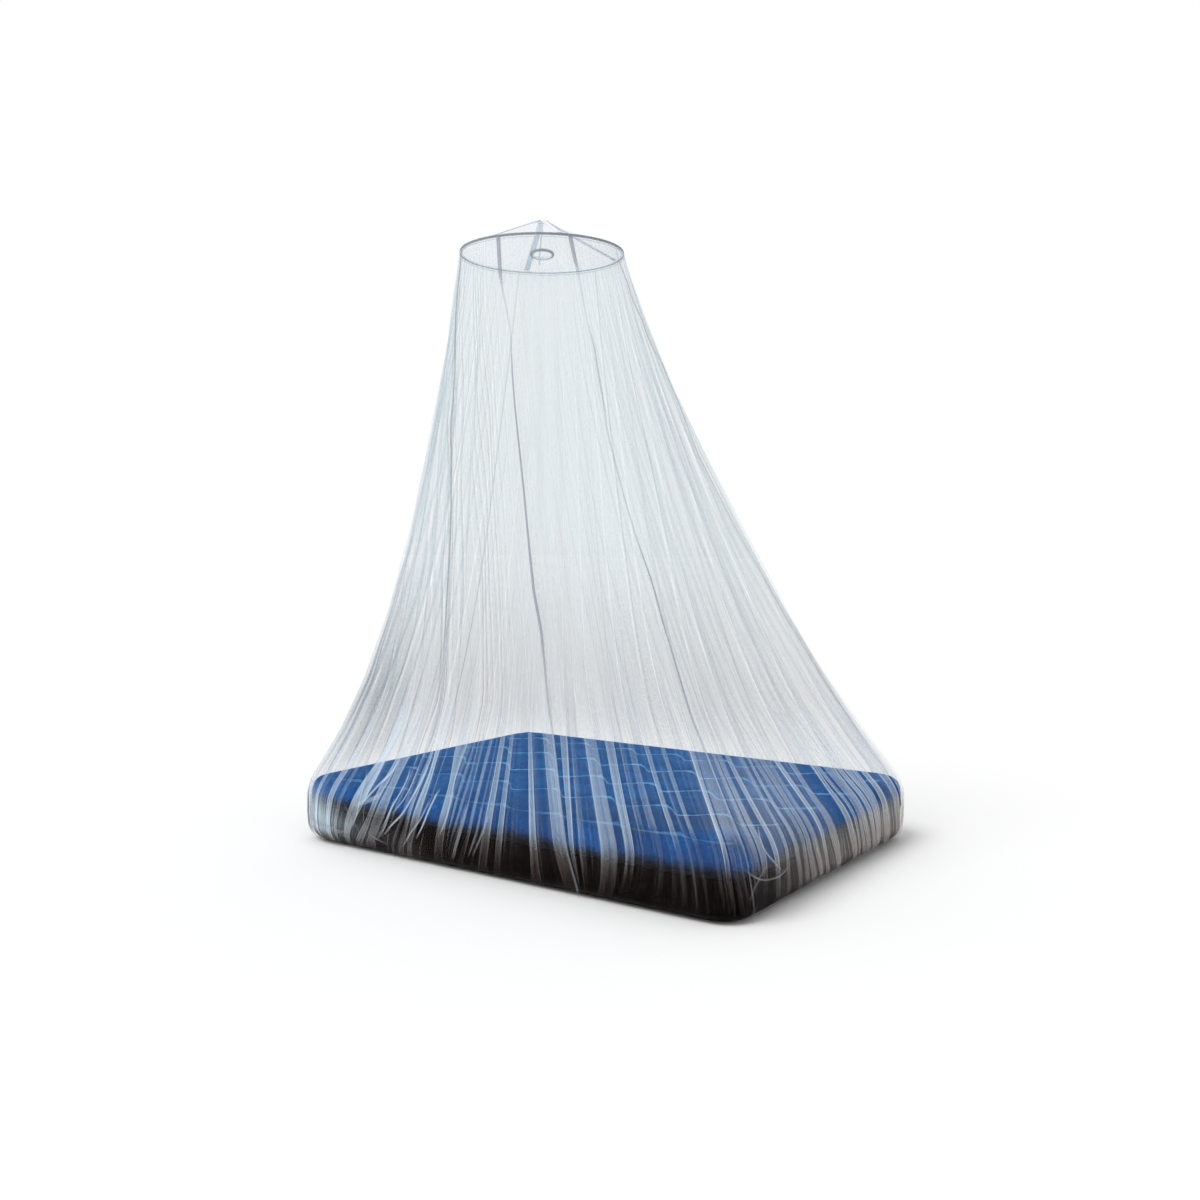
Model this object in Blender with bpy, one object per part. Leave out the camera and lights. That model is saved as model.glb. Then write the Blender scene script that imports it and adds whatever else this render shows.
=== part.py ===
"""Mosquito net canopy on its spreader hoop, falling over a double air mattress.

Metres, +Z up. The origin is the middle of the mattress's underside, and +X runs
along its length. The hoop hangs a little off the middle of the mattress.
"""

import math

import bmesh
import bpy
from mathutils import Matrix, Vector

# Mattress
LENGTH = 1.950
WIDTH = 1.424
CORNER = 0.130
TOP_INSET = 0.045
CORNER_SHARES = (0.38, 0.71, 1.0)
SEAM_HEIGHT = 0.150
CHANNEL = 0.285
CHANNEL_COUNT = 4
WAVE_LENGTH = 0.235
WAVE_REACH = 0.045
WAVE_START = 0.135
WAVE_FADE = 2.2
CREST_HEIGHT = 0.247
RIM_HEIGHT = 0.240
GROOVE_DEPTH = 0.020
# Across one channel: (share of its width, share of the groove's depth).
CHANNEL_PROFILE = ((0.0, 1.0), (0.16, 0.28), (0.5, 0.0), (0.84, 0.28))

# Hoop and crown
AXIS = Vector((-0.140, -0.220, 0.0))
HOOP_HEIGHT = 2.247
HOOP_RADIUS = 0.300
ROD_RADIUS = 0.004
RISE = 0.127
FLAT_SHARE = 0.93
CROWN_SAG = 0.012
CROWN_THICKNESS = 0.0013
CROWN_EDGE = 0.3080
CROWN_HOLE = 0.006
CROWN_LIFT = 0.0005
CROWN_STEPS = 12
TAPE_BEARINGS = (59.0, 139.5, 239.0, 319.5)
TAPE_WIDTH = 0.022
TAPE_THICKNESS = 0.0015
TAPE_END = 0.018
TAPE_SETBACK = 0.002
PATCH_SIDE = 0.042
PATCH_THICKNESS = 0.002

# Centre ring and the two narrow ties that it hangs on
VIEW_BEARING = 35.0
RING_RADIUS = 0.0405
RING_ROD = 0.0075
RING_TILT = 10.0
TIE_WIDTH = 0.005
TIE_THICKNESS = 0.0012
TIE_BEND_HEIGHT = 0.020
TIE_BEND_INSET = 0.004
TIE_END_INSET = 0.002
# Each tie: (name, bearing of its place in the ring, offset where it leaves the apex, hanging end).
TIES = (
    ("ring_tie_left", VIEW_BEARING + 180.0, -0.003, 0.040),
    ("ring_tie_back", VIEW_BEARING + 110.0, 0.003, 0.032),
)

# Net wall
NET_THICKNESS = 0.0022
GATHER_RADIUS = 0.3048
EDGE_HEIGHT = 0.225
EDGE_CLEARANCE = 0.008
FLARE_POWER = 5.0
LEAVE_POWER = 1.20
NET_TOP = HOOP_HEIGHT + ROD_RADIUS + 0.0001
HALVINGS = 30

GAP = 0.0003
FULL_TURN = 360.0

# The mattress's side, from the floor up: (height, growth of the plan outline).
BODY_SIDE = ((0.0, -0.060), (0.018, -0.022), (0.050, -0.004), (0.100, 0.0), (SEAM_HEIGHT - GAP, 0.0))
# The top's side, from the seam up, in the same columns.
TOP_SIDE = ((SEAM_HEIGHT, 0.0), (0.195, -0.002), (0.222, -0.011), (0.236, -0.027))

# Rings of the net from the hoop down: (height, fold depth, growth of the mattress outline).
# The growth counts below the mattress's edge only.
NET_LEVELS = (
    (NET_TOP, 0.000, 0.0),
    (2.170, 0.005, 0.0),
    (2.000, 0.012, 0.0),
    (1.780, 0.020, 0.0),
    (1.500, 0.027, 0.0),
    (1.200, 0.030, 0.0),
    (0.900, 0.030, 0.0),
    (0.640, 0.028, 0.0),
    (0.430, 0.022, 0.0),
    (0.310, 0.014, 0.0),
    (0.252, 0.009, 0.0),
    (0.200, 0.009, EDGE_CLEARANCE),
    (0.110, 0.013, 0.009),
    (0.050, 0.016, 0.005),
    (0.012, 0.020, -0.016),
    (0.000, 0.020, -0.016),
)

# How much of the way out each side of the net runs straight: (bearing, share).
STRAIGHTNESS = ((-150.0, 0.64), (-90.0, 0.85), (-30.0, 0.84), (39.0, 0.90), (90.0, 0.78), (150.0, 0.70))

# Folds of the net, anticlockwise round the hoop's axis: (bearing of its first trough, depth).
FOLDS = (
    (-155.0, 0.5), (-147.0, 0.7), (-139.0, 1.0), (-131.0, 0.6), (-124.0, 0.9), (-116.0, 0.6),
    (-107.0, 0.5), (-96.0, 1.5), (-84.0, 0.4), (-73.0, 0.6), (-61.0, 0.8), (-51.0, 1.0),
    (-42.0, 1.4), (-33.0, 0.8), (-26.0, 1.0), (-17.0, 0.9), (-9.0, 0.5), (-2.0, 0.8),
    (6.0, 1.0), (13.0, 0.6), (20.0, 0.9), (28.0, 0.7), (36.0, 0.6), (46.0, 0.9),
    (55.0, 0.5), (66.0, 1.0), (77.0, 0.6), (88.0, 0.9), (101.0, 0.7), (112.0, 1.0),
    (123.0, 0.6), (132.0, 0.8), (143.0, 0.9), (155.0, 0.6), (168.0, 1.0), (181.0, 0.7),
    (193.0, 0.9),
)
# Across one fold: (share of its width, share of its depth).
FOLD_PROFILE = ((0.0, 0.0), (0.30, 0.62), (0.52, 1.0), (0.76, 0.55))


def clear_scene():
    for old in list(bpy.data.objects):
        bpy.data.objects.remove(old, do_unlink=True)


def material(name, colour, roughness, metallic=0.0):
    made = bpy.data.materials.new(name)
    made.use_nodes = True
    shader = made.node_tree.nodes["Principled BSDF"]
    shader.inputs["Base Color"].default_value = (*colour, 1.0)
    shader.inputs["Roughness"].default_value = roughness
    shader.inputs["Metallic"].default_value = metallic
    made.diffuse_color = (*colour, 1.0)
    return made


def finish(name, shape, finish_material, sharp=35.0):
    """Turns a bmesh into a named object with its faces outward."""
    bmesh.ops.recalc_face_normals(shape, faces=shape.faces)
    mesh = bpy.data.meshes.new(name)
    shape.to_mesh(mesh)
    shape.free()
    mesh.shade_smooth()
    mesh.set_sharp_from_angle(angle=math.radians(sharp))
    mesh.materials.append(finish_material)
    made = bpy.data.objects.new(name, mesh)
    bpy.context.collection.objects.link(made)
    return made


def spoke(bearing):
    """The level unit vector at a bearing in degrees, anticlockwise from +X."""
    turn = math.radians(bearing)
    return Vector((math.cos(turn), math.sin(turn), 0.0))


def lofted(sections):
    """Skin between closed sections, with a flat cap at each end."""
    shape = bmesh.new()
    rings = [[shape.verts.new(point) for point in section] for section in sections]
    join_rings(shape, rings)
    shape.faces.new(rings[0][::-1])
    shape.faces.new(rings[-1])
    return shape


def swept(sections):
    """Skin through closed sections that run once round and meet again."""
    shape = bmesh.new()
    rings = [[shape.verts.new(point) for point in section] for section in sections]
    join_rings(shape, rings + rings[:1])
    return shape


def join_rings(shape, rings):
    for lower, upper in zip(rings, rings[1:]):
        for k in range(len(lower)):
            after = (k + 1) % len(lower)
            shape.faces.new((lower[k], lower[after], upper[after], upper[k]))


# --- Mattress -------------------------------------------------------------


def plan_point(x, y, growth):
    """A point of the square-cornered top moved to the round-cornered plan and grown outward."""
    core_x = LENGTH / 2 - CORNER
    core_y = WIDTH / 2 - CORNER
    radius = CORNER - TOP_INSET
    across = max(abs(x) - core_x, 0.0) / radius
    along = max(abs(y) - core_y, 0.0) / radius
    out_x = across * math.sqrt(1 - along * along / 2) * (radius + growth)
    out_y = along * math.sqrt(1 - across * across / 2) * (radius + growth)
    return (
        math.copysign(min(abs(x), core_x) + out_x, x),
        math.copysign(min(abs(y), core_y) + out_y, y),
    )


def corner_places(size):
    """Grid places from where a rounded corner starts out to the rim."""
    radius = CORNER - TOP_INSET
    return [size / 2 - CORNER + radius * share for share in CORNER_SHARES]


def top_columns():
    """X of the grid's columns: every quarter wave, then closer through the corners."""
    corner = corner_places(LENGTH)
    step = WAVE_LENGTH / 4
    reach_count = round(LENGTH / 2 / step)
    waves = [k * step - WAVE_START % step for k in range(-reach_count, reach_count + 1)]
    inner = [x for x in waves if abs(x) < corner[0] - step / 3]
    return [-x for x in reversed(corner)] + inner + corner


def top_rows():
    """Y of the grid's rows with the height of each: grooves between crowned channels."""
    first = -CHANNEL * CHANNEL_COUNT / 2
    shoulder = [(y, RIM_HEIGHT) for y in corner_places(WIDTH)]
    rows = [(-y, height) for y, height in reversed(shoulder)]
    for k in range(CHANNEL_COUNT):
        for share, depth in CHANNEL_PROFILE:
            rows.append((first + CHANNEL * (k + share), CREST_HEIGHT - GROOVE_DEPTH * depth))
    rows.append((-first, CREST_HEIGHT - GROOVE_DEPTH))
    return rows + shoulder


def wave(x, y):
    """How far the welded channels swing sideways at a place on the top."""
    phase = 2 * math.pi * (x + WAVE_START) / WAVE_LENGTH
    room = WIDTH / 2 - TOP_INSET - abs(y)
    return WAVE_REACH * math.sin(phase) * min(1.0, room / (WAVE_FADE * WAVE_REACH))


def mattress_top(colour):
    columns = top_columns()
    rows = top_rows()
    shape = bmesh.new()
    grid = []
    for x in columns:
        line = []
        end = x in (columns[0], columns[-1])
        for y, height in rows:
            plan = plan_point(x, y, 0.0)
            rim = end or y in (rows[0][0], rows[-1][0])
            if rim:
                line.append(shape.verts.new((*plan, RIM_HEIGHT)))
                continue
            line.append(shape.verts.new((plan[0], plan[1] + wave(x, y), height)))
        grid.append(line)
    for i in range(len(columns) - 1):
        for j in range(len(rows) - 1):
            shape.faces.new((grid[i][j], grid[i + 1][j], grid[i + 1][j + 1], grid[i][j + 1]))
    rim = rim_places(columns, [row[0] for row in rows])
    ends = {(x, y): grid[i][j] for i, x in enumerate(columns) for j, (y, _) in enumerate(rows)}
    rings = [[ends[place] for place in rim]]
    for height, growth in reversed(TOP_SIDE):
        rings.append([shape.verts.new((*plan_point(x, y, TOP_INSET + growth), height)) for x, y in rim])
    join_rings(shape, rings)
    shape.faces.new(rings[-1])
    return finish("mattress_top", shape, colour)


def rim_places(columns, rows):
    """The grid's outer places, once round."""
    near = [(x, rows[0]) for x in columns]
    right = [(columns[-1], y) for y in rows[1:]]
    far = [(x, rows[-1]) for x in reversed(columns[:-1])]
    left = [(columns[0], y) for y in reversed(rows[1:-1])]
    return near + right + far + left


def mattress_body(colour):
    rim = rim_places(top_columns(), [row[0] for row in top_rows()])
    sections = [
        [(*plan_point(x, y, TOP_INSET + growth), height) for x, y in rim]
        for height, growth in BODY_SIDE
    ]
    return finish("mattress_body", lofted(sections), colour)


# --- Net wall -------------------------------------------------------------


def outside(point, growth):
    """How far a level point lies outside the mattress's grown plan outline."""
    past_x = abs(point.x) - (LENGTH / 2 - CORNER)
    past_y = abs(point.y) - (WIDTH / 2 - CORNER)
    corner = math.hypot(max(past_x, 0.0), max(past_y, 0.0))
    return corner + min(max(past_x, past_y), 0.0) - CORNER - growth


def reach(bearing, growth):
    """Distance from the hoop's axis to the grown mattress outline."""
    near, far = 0.0, LENGTH
    for _ in range(HALVINGS):
        middle = (near + far) / 2
        if outside(AXIS + spoke(bearing) * middle, growth) < 0.0:
            near = middle
        else:
            far = middle
    return near


def straight_share(bearing):
    """STRAIGHTNESS read between its rows, round the full turn."""
    rows = [*STRAIGHTNESS, (STRAIGHTNESS[0][0] + FULL_TURN, STRAIGHTNESS[0][1])]
    place = (bearing - rows[0][0]) % FULL_TURN + rows[0][0]
    for (start, low), (end, high) in zip(rows, rows[1:]):
        if place <= end:
            return low + (high - low) * (place - start) / (end - start)
    return rows[-1][1]


def net_radius(bearing, height, growth):
    """The net's inner surface without its folds: from the hoop out to the edge, then down."""
    if height <= EDGE_HEIGHT:
        return reach(bearing, growth)
    drop = max(0.0, (HOOP_HEIGHT - height) / (HOOP_HEIGHT - EDGE_HEIGHT))
    straight = straight_share(bearing)
    share = straight * drop**LEAVE_POWER + (1 - straight) * drop**FLARE_POWER
    return GATHER_RADIUS + (reach(bearing, EDGE_CLEARANCE) - GATHER_RADIUS) * share


def net_columns():
    """The bearing of each column of the net with its share of the fold depth."""
    closing = (FOLDS[0][0] + FULL_TURN, 0.0)
    for (start, depth), (end, _) in zip(FOLDS, [*FOLDS[1:], closing]):
        for place, share in FOLD_PROFILE:
            yield start + (end - start) * place, depth * share


def net_wall(colour):
    sections = []
    for bearing, share in net_columns():
        inner = []
        for height, depth, growth in NET_LEVELS:
            radius = net_radius(bearing, height, growth) + depth * share
            inner.append(AXIS + spoke(bearing) * radius + Vector((0.0, 0.0, height)))
        outer = [point + spoke(bearing) * NET_THICKNESS for point in reversed(inner)]
        sections.append(inner + outer)
    return finish("net_wall", swept(sections), colour)


# --- Hoop, crown and what is sewn there -----------------------------------


def ring_object(name, radius, rod, steps, colour):
    """A closed round rod, made as a circle curve with a bevel."""
    curve = bpy.data.curves.new(name, "CURVE")
    curve.dimensions = "3D"
    spline = curve.splines.new("POLY")
    spline.points.add(steps - 1)
    for k, point in enumerate(spline.points):
        point.co = (*(spoke(FULL_TURN * k / steps) * radius), 1.0)
    spline.use_cyclic_u = True
    spline.use_smooth = True
    curve.bevel_depth = rod
    curve.bevel_resolution = 2
    curve.materials.append(colour)
    made = bpy.data.objects.new(name, curve)
    bpy.context.collection.objects.link(made)
    return made


def crown_height(share, between):
    """The crown's underside: share runs from the hoop (0) to the apex (1), between from tape to tape."""
    level = HOOP_HEIGHT + ROD_RADIUS + CROWN_LIFT + RISE * min(share, FLAT_SHARE)
    if share >= FLAT_SHARE:
        return level
    return level - CROWN_SAG * math.sin(math.pi * share) * math.sin(math.pi * between)


def crown(colour):
    shares = (0.0, FLAT_SHARE / 3, FLAT_SHARE * 2 / 3, FLAT_SHARE, 1.0)
    sections = []
    turns = [*TAPE_BEARINGS, TAPE_BEARINGS[0] + FULL_TURN]
    for start, end in zip(turns, turns[1:]):
        for k in range(CROWN_STEPS):
            between = k / CROWN_STEPS
            out = spoke(start + (end - start) * between)
            inner = [AXIS + out * CROWN_EDGE + Vector((0, 0, crown_height(0.0, 0.0)))]
            for share in shares:
                radius = HOOP_RADIUS + (CROWN_HOLE - HOOP_RADIUS) * share
                inner.append(AXIS + out * radius + Vector((0, 0, crown_height(share, between))))
            outer = [point + Vector((0, 0, CROWN_THICKNESS)) for point in reversed(inner)]
            sections.append(inner + outer)
    return finish("crown", swept(sections), colour)


def strip(name, points, side, width, thickness, colour):
    """A flat tape through points, laid across a side direction and thickened to its upper face."""
    shape = bmesh.new()
    rows = [[shape.verts.new(p + side * width * s) for s in (-0.5, 0.5)] for p in points]
    for (a, b), (c, d) in zip(rows, rows[1:]):
        shape.faces.new((a, b, d, c))
    made = finish(name, shape, colour)
    solid = made.modifiers.new("thickness", "SOLIDIFY")
    solid.thickness = thickness
    solid.offset = 0.0
    return made


def crown_tapes(colour):
    """Four runs of webbing on the crown's ridges, from over the hoop to the apex."""
    lift = CROWN_THICKNESS + TAPE_THICKNESS / 2 + 2 * GAP
    bend = HOOP_RADIUS + (CROWN_HOLE - HOOP_RADIUS) * FLAT_SHARE
    for k, bearing in enumerate(TAPE_BEARINGS, 1):
        out = spoke(bearing)
        points = [AXIS + out * (CROWN_EDGE - TAPE_SETBACK) + Vector((0, 0, crown_height(0.0, 0.0) + lift))]
        for radius in (HOOP_RADIUS, bend, TAPE_END):
            share = (HOOP_RADIUS - radius) / (HOOP_RADIUS - CROWN_HOLE)
            points.append(AXIS + out * radius + Vector((0, 0, crown_height(share, 0.0) + lift)))
        strip(f"crown_tape_{k}", points, spoke(bearing + 90.0), TAPE_WIDTH, TAPE_THICKNESS, colour)


def apex_patch(colour):
    shape = bmesh.new()
    bmesh.ops.create_cube(shape, size=1.0)
    base = crown_height(1.0, 0.0) + CROWN_THICKNESS + TAPE_THICKNESS + 4 * GAP
    middle = AXIS + Vector((0.0, 0.0, base + PATCH_THICKNESS / 2))
    turn = Matrix.Rotation(math.radians(TAPE_BEARINGS[0]), 4, "Z")
    size = Matrix.Diagonal((PATCH_SIDE, PATCH_SIDE, PATCH_THICKNESS, 1.0))
    shape.transform(Matrix.Translation(middle) @ turn @ size)
    return finish("apex_patch", shape, colour)


def centre_ring(colour):
    """The ring lies level with the hoop, tipped a little up on the side that is seen first."""
    made = ring_object("centre_ring", RING_RADIUS, RING_ROD, 28, colour)
    made.location = AXIS + Vector((0.0, 0.0, HOOP_HEIGHT))
    right = spoke(VIEW_BEARING)
    made.rotation_euler = Matrix.Rotation(math.radians(-RING_TILT), 3, right).to_euler()
    return made


def ring_ties(colour):
    """Two narrow ties from under the apex, through the ring, with their ends left hanging."""
    right = spoke(VIEW_BEARING)
    back = spoke(VIEW_BEARING + 90.0)
    inner = RING_RADIUS - RING_ROD - GAP - TIE_THICKNESS
    top = crown_height(1.0, 0.0) - GAP
    for name, bearing, start, hanging in TIES:
        out = spoke(bearing)
        tilt = out.dot(back) * math.sin(math.radians(-RING_TILT)) * RING_RADIUS
        seat = Vector((0, 0, HOOP_HEIGHT + tilt))
        points = (
            AXIS + right * start + Vector((0, 0, top)),
            AXIS + out * (inner - TIE_BEND_INSET) + seat + Vector((0, 0, TIE_BEND_HEIGHT)),
            AXIS + out * inner + seat,
            AXIS + out * (inner - TIE_END_INSET) + Vector((0, 0, HOOP_HEIGHT - hanging)),
        )
        strip(name, points, spoke(bearing + 90.0), TIE_WIDTH, TIE_THICKNESS, colour)


clear_scene()
net_white = material("net_white", (0.78, 0.82, 0.86), 0.85)
tape_grey = material("tape_grey", (0.36, 0.39, 0.44), 0.8)
hoop_grey = material("hoop_grey", (0.20, 0.21, 0.25), 0.45)
ring_dark = material("ring_dark", (0.10, 0.11, 0.13), 0.4)
flock_blue = material("flock_blue", (0.035, 0.12, 0.36), 0.9)
vinyl_dark = material("vinyl_dark", (0.014, 0.011, 0.011), 0.5)

mattress_body(vinyl_dark)
mattress_top(flock_blue)
hoop = ring_object("hoop", HOOP_RADIUS, ROD_RADIUS, 64, hoop_grey)
hoop.location = AXIS + Vector((0.0, 0.0, HOOP_HEIGHT))
net_wall(net_white)
crown(net_white)
crown_tapes(tape_grey)
apex_patch(tape_grey)
centre_ring(ring_dark)
ring_ties(ring_dark)
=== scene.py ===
"""Mosquito net canopy on its spreader hoop over a double air mattress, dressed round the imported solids."""

import math

import bpy
import numpy as np
from mathutils import Matrix, Vector
from mathutils.bvhtree import BVHTree


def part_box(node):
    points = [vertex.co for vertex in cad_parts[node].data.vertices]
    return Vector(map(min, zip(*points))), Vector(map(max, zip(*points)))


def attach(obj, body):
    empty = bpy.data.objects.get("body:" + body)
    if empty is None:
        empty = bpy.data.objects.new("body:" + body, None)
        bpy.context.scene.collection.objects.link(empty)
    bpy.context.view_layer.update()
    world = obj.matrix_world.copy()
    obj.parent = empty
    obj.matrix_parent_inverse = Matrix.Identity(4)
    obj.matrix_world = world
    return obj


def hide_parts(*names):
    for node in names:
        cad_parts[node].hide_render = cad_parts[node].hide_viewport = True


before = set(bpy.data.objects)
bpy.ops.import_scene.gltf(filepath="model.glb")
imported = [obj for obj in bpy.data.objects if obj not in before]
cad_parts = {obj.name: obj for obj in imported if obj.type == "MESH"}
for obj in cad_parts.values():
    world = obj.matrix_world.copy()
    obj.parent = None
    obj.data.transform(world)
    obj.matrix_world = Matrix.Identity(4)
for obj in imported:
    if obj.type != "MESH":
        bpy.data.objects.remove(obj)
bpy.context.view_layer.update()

# --- Camera ---
# Eye height, distance and lens come from the hoop's ellipse and the mattress's corners.
EYE = Vector((2.637, -3.799, 1.178))
EYE_TURN = 35.05
EYE_DIP = 2.962
LENS_IN_PIXELS = 1185.5
PICTURE_PIXELS = 1200
SENSOR = 36.0

put_in_scene = bpy.context.scene.collection.objects.link
lens = bpy.data.cameras.new("lens")
lens.sensor_width = SENSOR
lens.lens = SENSOR * LENS_IN_PIXELS / PICTURE_PIXELS
camera = bpy.data.objects.new("camera", lens)
camera.location = EYE
camera.rotation_euler = (math.radians(90 - EYE_DIP), 0.0, math.radians(EYE_TURN))
put_in_scene(camera)
bpy.context.scene.camera = camera


# --- Mattress body ---
# The lower half of the inflated mattress is near-black vinyl. Its two skins are
# welded along a thin lip, and the ends of its air beams push out at both ends.
body_low, body_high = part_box("mattress_body")
LENGTH = body_high.x - body_low.x
WIDTH = body_high.y - body_low.y
CORNER = 0.13
CHANNEL = 0.286
FIRST_WELD = -0.072
FOOT_ROLL = 0.06
FOOT_HEIGHT = 0.1
LIP_REACH = 0.0016
LIP_LOW, LIP_HIGH = 0.1405, 0.149
BEAM_END_DEPTH = 0.006
VALLEY_WIDTH = 0.03
SIDE_DIMPLE = 0.003
RIM_COLUMNS = 900


class Shade:
    """A node's output. Arithmetic on it adds Math nodes, so that a rule reads as it is written."""

    def __init__(self, tree, output=None):
        self.tree = tree
        self.output = output

    def node(self, kind, settings, sockets, give=0):
        """Adds a node: its settings first, then the values or links of its sockets."""
        made = self.tree.nodes.new(kind)
        for name, value in settings.items():
            setattr(made, name, value)
        for name, value in sockets.items():
            if isinstance(value, Shade):
                self.tree.links.new(value.output, made.inputs[name])
            else:
                made.inputs[name].default_value = value
        return Shade(self.tree, made.outputs[give])

    def math(self, operation, *values):
        return self.node("ShaderNodeMath", {"operation": operation}, dict(enumerate(values)))

    def to(self, operation, *others):
        """This value put through a Math node's operation."""
        return self.math(operation, self, *others)

    def __add__(self, other):
        return self.to("ADD", other)

    def __sub__(self, other):
        return self.to("SUBTRACT", other)

    def __rsub__(self, other):
        return self.math("SUBTRACT", other, self)

    def __mul__(self, other):
        return self.to("MULTIPLY", other)

    def __truediv__(self, other):
        return self.to("DIVIDE", other)

    def __neg__(self):
        return self * -1.0

    __radd__ = __add__
    __rmul__ = __mul__

    def ramp(self, low, high, to_low=0.0, to_high=1.0):
        """Eases from to_low to to_high while this value goes from low to high."""
        sockets = {"Value": self, "From Min": low, "From Max": high, "To Min": to_low, "To Max": to_high}
        return self.node("ShaderNodeMapRange", {"interpolation_type": "SMOOTHSTEP"}, sockets)

    def blend(self, colour, other):
        """The first colour where this value is 0, the other where it is 1."""
        mix = {"data_type": "RGBA", "clamp_factor": True}
        return self.node("ShaderNodeMix", mix, {0: self, 6: colour, 7: other}, give=2)

    def axes(self):
        """The three parts of a vector."""
        split = self.node("ShaderNodeSeparateXYZ", {}, {"Vector": self}).output.node
        return [Shade(self.tree, output) for output in split.outputs]

    def stretched(self, x, y, z=0.0):
        """This place with each axis scaled, to lay a pattern along the cloth."""
        return self.node("ShaderNodeVectorMath", {"operation": "MULTIPLY"}, {0: self, 1: (x, y, z)})

    def bell(self):
        """1 where this value is 0, falling smoothly to 0 on both sides."""
        return (-self * self).to("EXPONENT")

    def kept(self, name):
        """A number that the mesh keeps at its points."""
        return self.node("ShaderNodeAttribute", {"attribute_name": name}, {}, give=2)

    def noise(self, scale, detail=2.0, roughness=0.5):
        sockets = {"Vector": self, "Scale": scale, "Detail": detail, "Roughness": roughness}
        return self.node("ShaderNodeTexNoise", {}, sockets)

    def bump(self, strength, distance):
        return self.node("ShaderNodeBump", {}, {"Height": self, "Strength": strength, "Distance": distance})


def finish(name):
    """A new material, its Principled shader, and its object coordinates."""
    made = bpy.data.materials.new(name)
    made.use_nodes = True
    coordinates = Shade(made.node_tree).node("ShaderNodeTexCoord", {}, {}, give=3)
    return made, made.node_tree.nodes["Principled BSDF"], coordinates


def feed(shader, **sockets):
    """Sets a shader's sockets, whose names are written with _ for a space."""
    for name, value in sockets.items():
        socket = shader.inputs[name.replace("_", " ")]
        if isinstance(value, Shade):
            value.tree.links.new(value.output, socket)
        else:
            socket.default_value = value


def quad_mesh(name, points, closed=True, capped=False):
    """A smooth mesh of quads over rows of points. Closed rows join end to end, and caps close its ends."""
    rows, columns = points.shape[:2]
    across = columns if closed else columns - 1
    start = np.arange(rows - 1)[:, None] * columns
    near = start + np.arange(across)
    beside = start + (np.arange(across) + 1) % columns
    faces = np.stack([near, beside, beside + columns, near + columns], -1).reshape(-1, 4).tolist()
    if capped:
        faces += [list(range(columns))[::-1], list(range((rows - 1) * columns, rows * columns))]
    mesh = bpy.data.meshes.new(name)
    mesh.from_pydata(points.reshape(-1, 3), [], faces)
    mesh.shade_smooth()
    return mesh


def fit(mesh, material, slot, *nodes):
    """Makes a finished mesh a piece of the canopy, with its name, that stands for CAD nodes."""
    mesh.materials.clear()
    mesh.materials.append(material)
    piece = bpy.data.objects.new(mesh.name, mesh)
    put_in_scene(piece)
    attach(piece, "root")
    if nodes:
        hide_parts(*nodes)
    return piece


def rim_walk(columns):
    """Points once round the mattress's plan outline, anticlockwise, with the outward direction at each."""
    core_x, core_y = LENGTH / 2 - CORNER, WIDTH / 2 - CORNER
    arc = CORNER * math.pi / 2
    # The middle of the rounding goes along each side and waits at each corner, where the outline turns.
    middle_x = core_x * np.array([-1, 1, 1, 1, 1, -1, -1, -1, -1])
    middle_y = core_y * np.array([-1, -1, -1, 1, 1, 1, 1, -1, -1])
    turned = np.radians([-90, -90, 0, 0, 90, 90, 180, 180, 270])
    knots = np.concatenate([[0.0], np.cumsum([2 * core_x, arc, 2 * core_y, arc] * 2)])
    place = np.linspace(0, knots[-1], columns, endpoint=False)
    angle = np.interp(place, knots, turned)
    out = np.column_stack([np.cos(angle), np.sin(angle)])
    middle = np.column_stack([np.interp(place, knots, middle_x), np.interp(place, knots, middle_y)])
    return middle + CORNER * out, out


rim, rim_out = rim_walk(RIM_COLUMNS)
lip_rows = [0.14, 0.142, 0.144, 0.146, 0.148, body_high.z]
heights = np.concatenate([np.linspace(0.0, 0.02, 5), np.linspace(0.028, 0.136, 14), lip_rows])
from_valley = (((rim[:, 1] - FIRST_WELD) / CHANNEL + 0.5) % 1 - 0.5) * CHANNEL
beam_valley = np.exp(-((from_valley / VALLEY_WIDTH) ** 2))
at_end = np.clip(np.abs(rim_out[:, 0]), 0, 1) ** 4
dimple = np.sin(rim[:, 0] * 9.1 + 0.6) * np.sin(rim[:, 0] * 23.0 + 1.0) * np.abs(rim_out[:, 1]) ** 4
rings = []
for height in heights:
    roll = FOOT_ROLL * max(0.0, 1 - height / FOOT_HEIGHT) ** 5
    swell = math.sin(math.pi * min(1.0, height / body_high.z))
    lip = LIP_REACH * (LIP_LOW < height < LIP_HIGH)
    drawn_in = BEAM_END_DEPTH * beam_valley * at_end + SIDE_DIMPLE * (0.5 + 0.5 * dimple)
    ring = rim + rim_out * (lip - roll - swell * drawn_in)[:, None]
    rings.append(np.column_stack([ring, np.full(RIM_COLUMNS, height)]))
body = quad_mesh("mattress_body_skin", np.array(rings), capped=True)
body.set_sharp_from_angle(angle=math.radians(50))

vinyl, shader, place = finish("vinyl")
grain = place.noise(420.0, 2.0)
crumple = place.noise(14.0, 4.0, 0.6)
dust = place.noise(5.0, 5.0, 0.65).ramp(0.45, 0.8)
feed(
    shader,
    Base_Color=(dust * 0.5).blend((0.0022, 0.0014, 0.0014, 1), (0.009, 0.0055, 0.005, 1)),
    Roughness=0.38 + dust * 0.25,
    Specular_IOR_Level=0.02,
    Normal=(grain * 0.25 + crumple).bump(0.35, 0.012),
)
fit(body, vinyl, "vinyl", "mattress_body")


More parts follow.
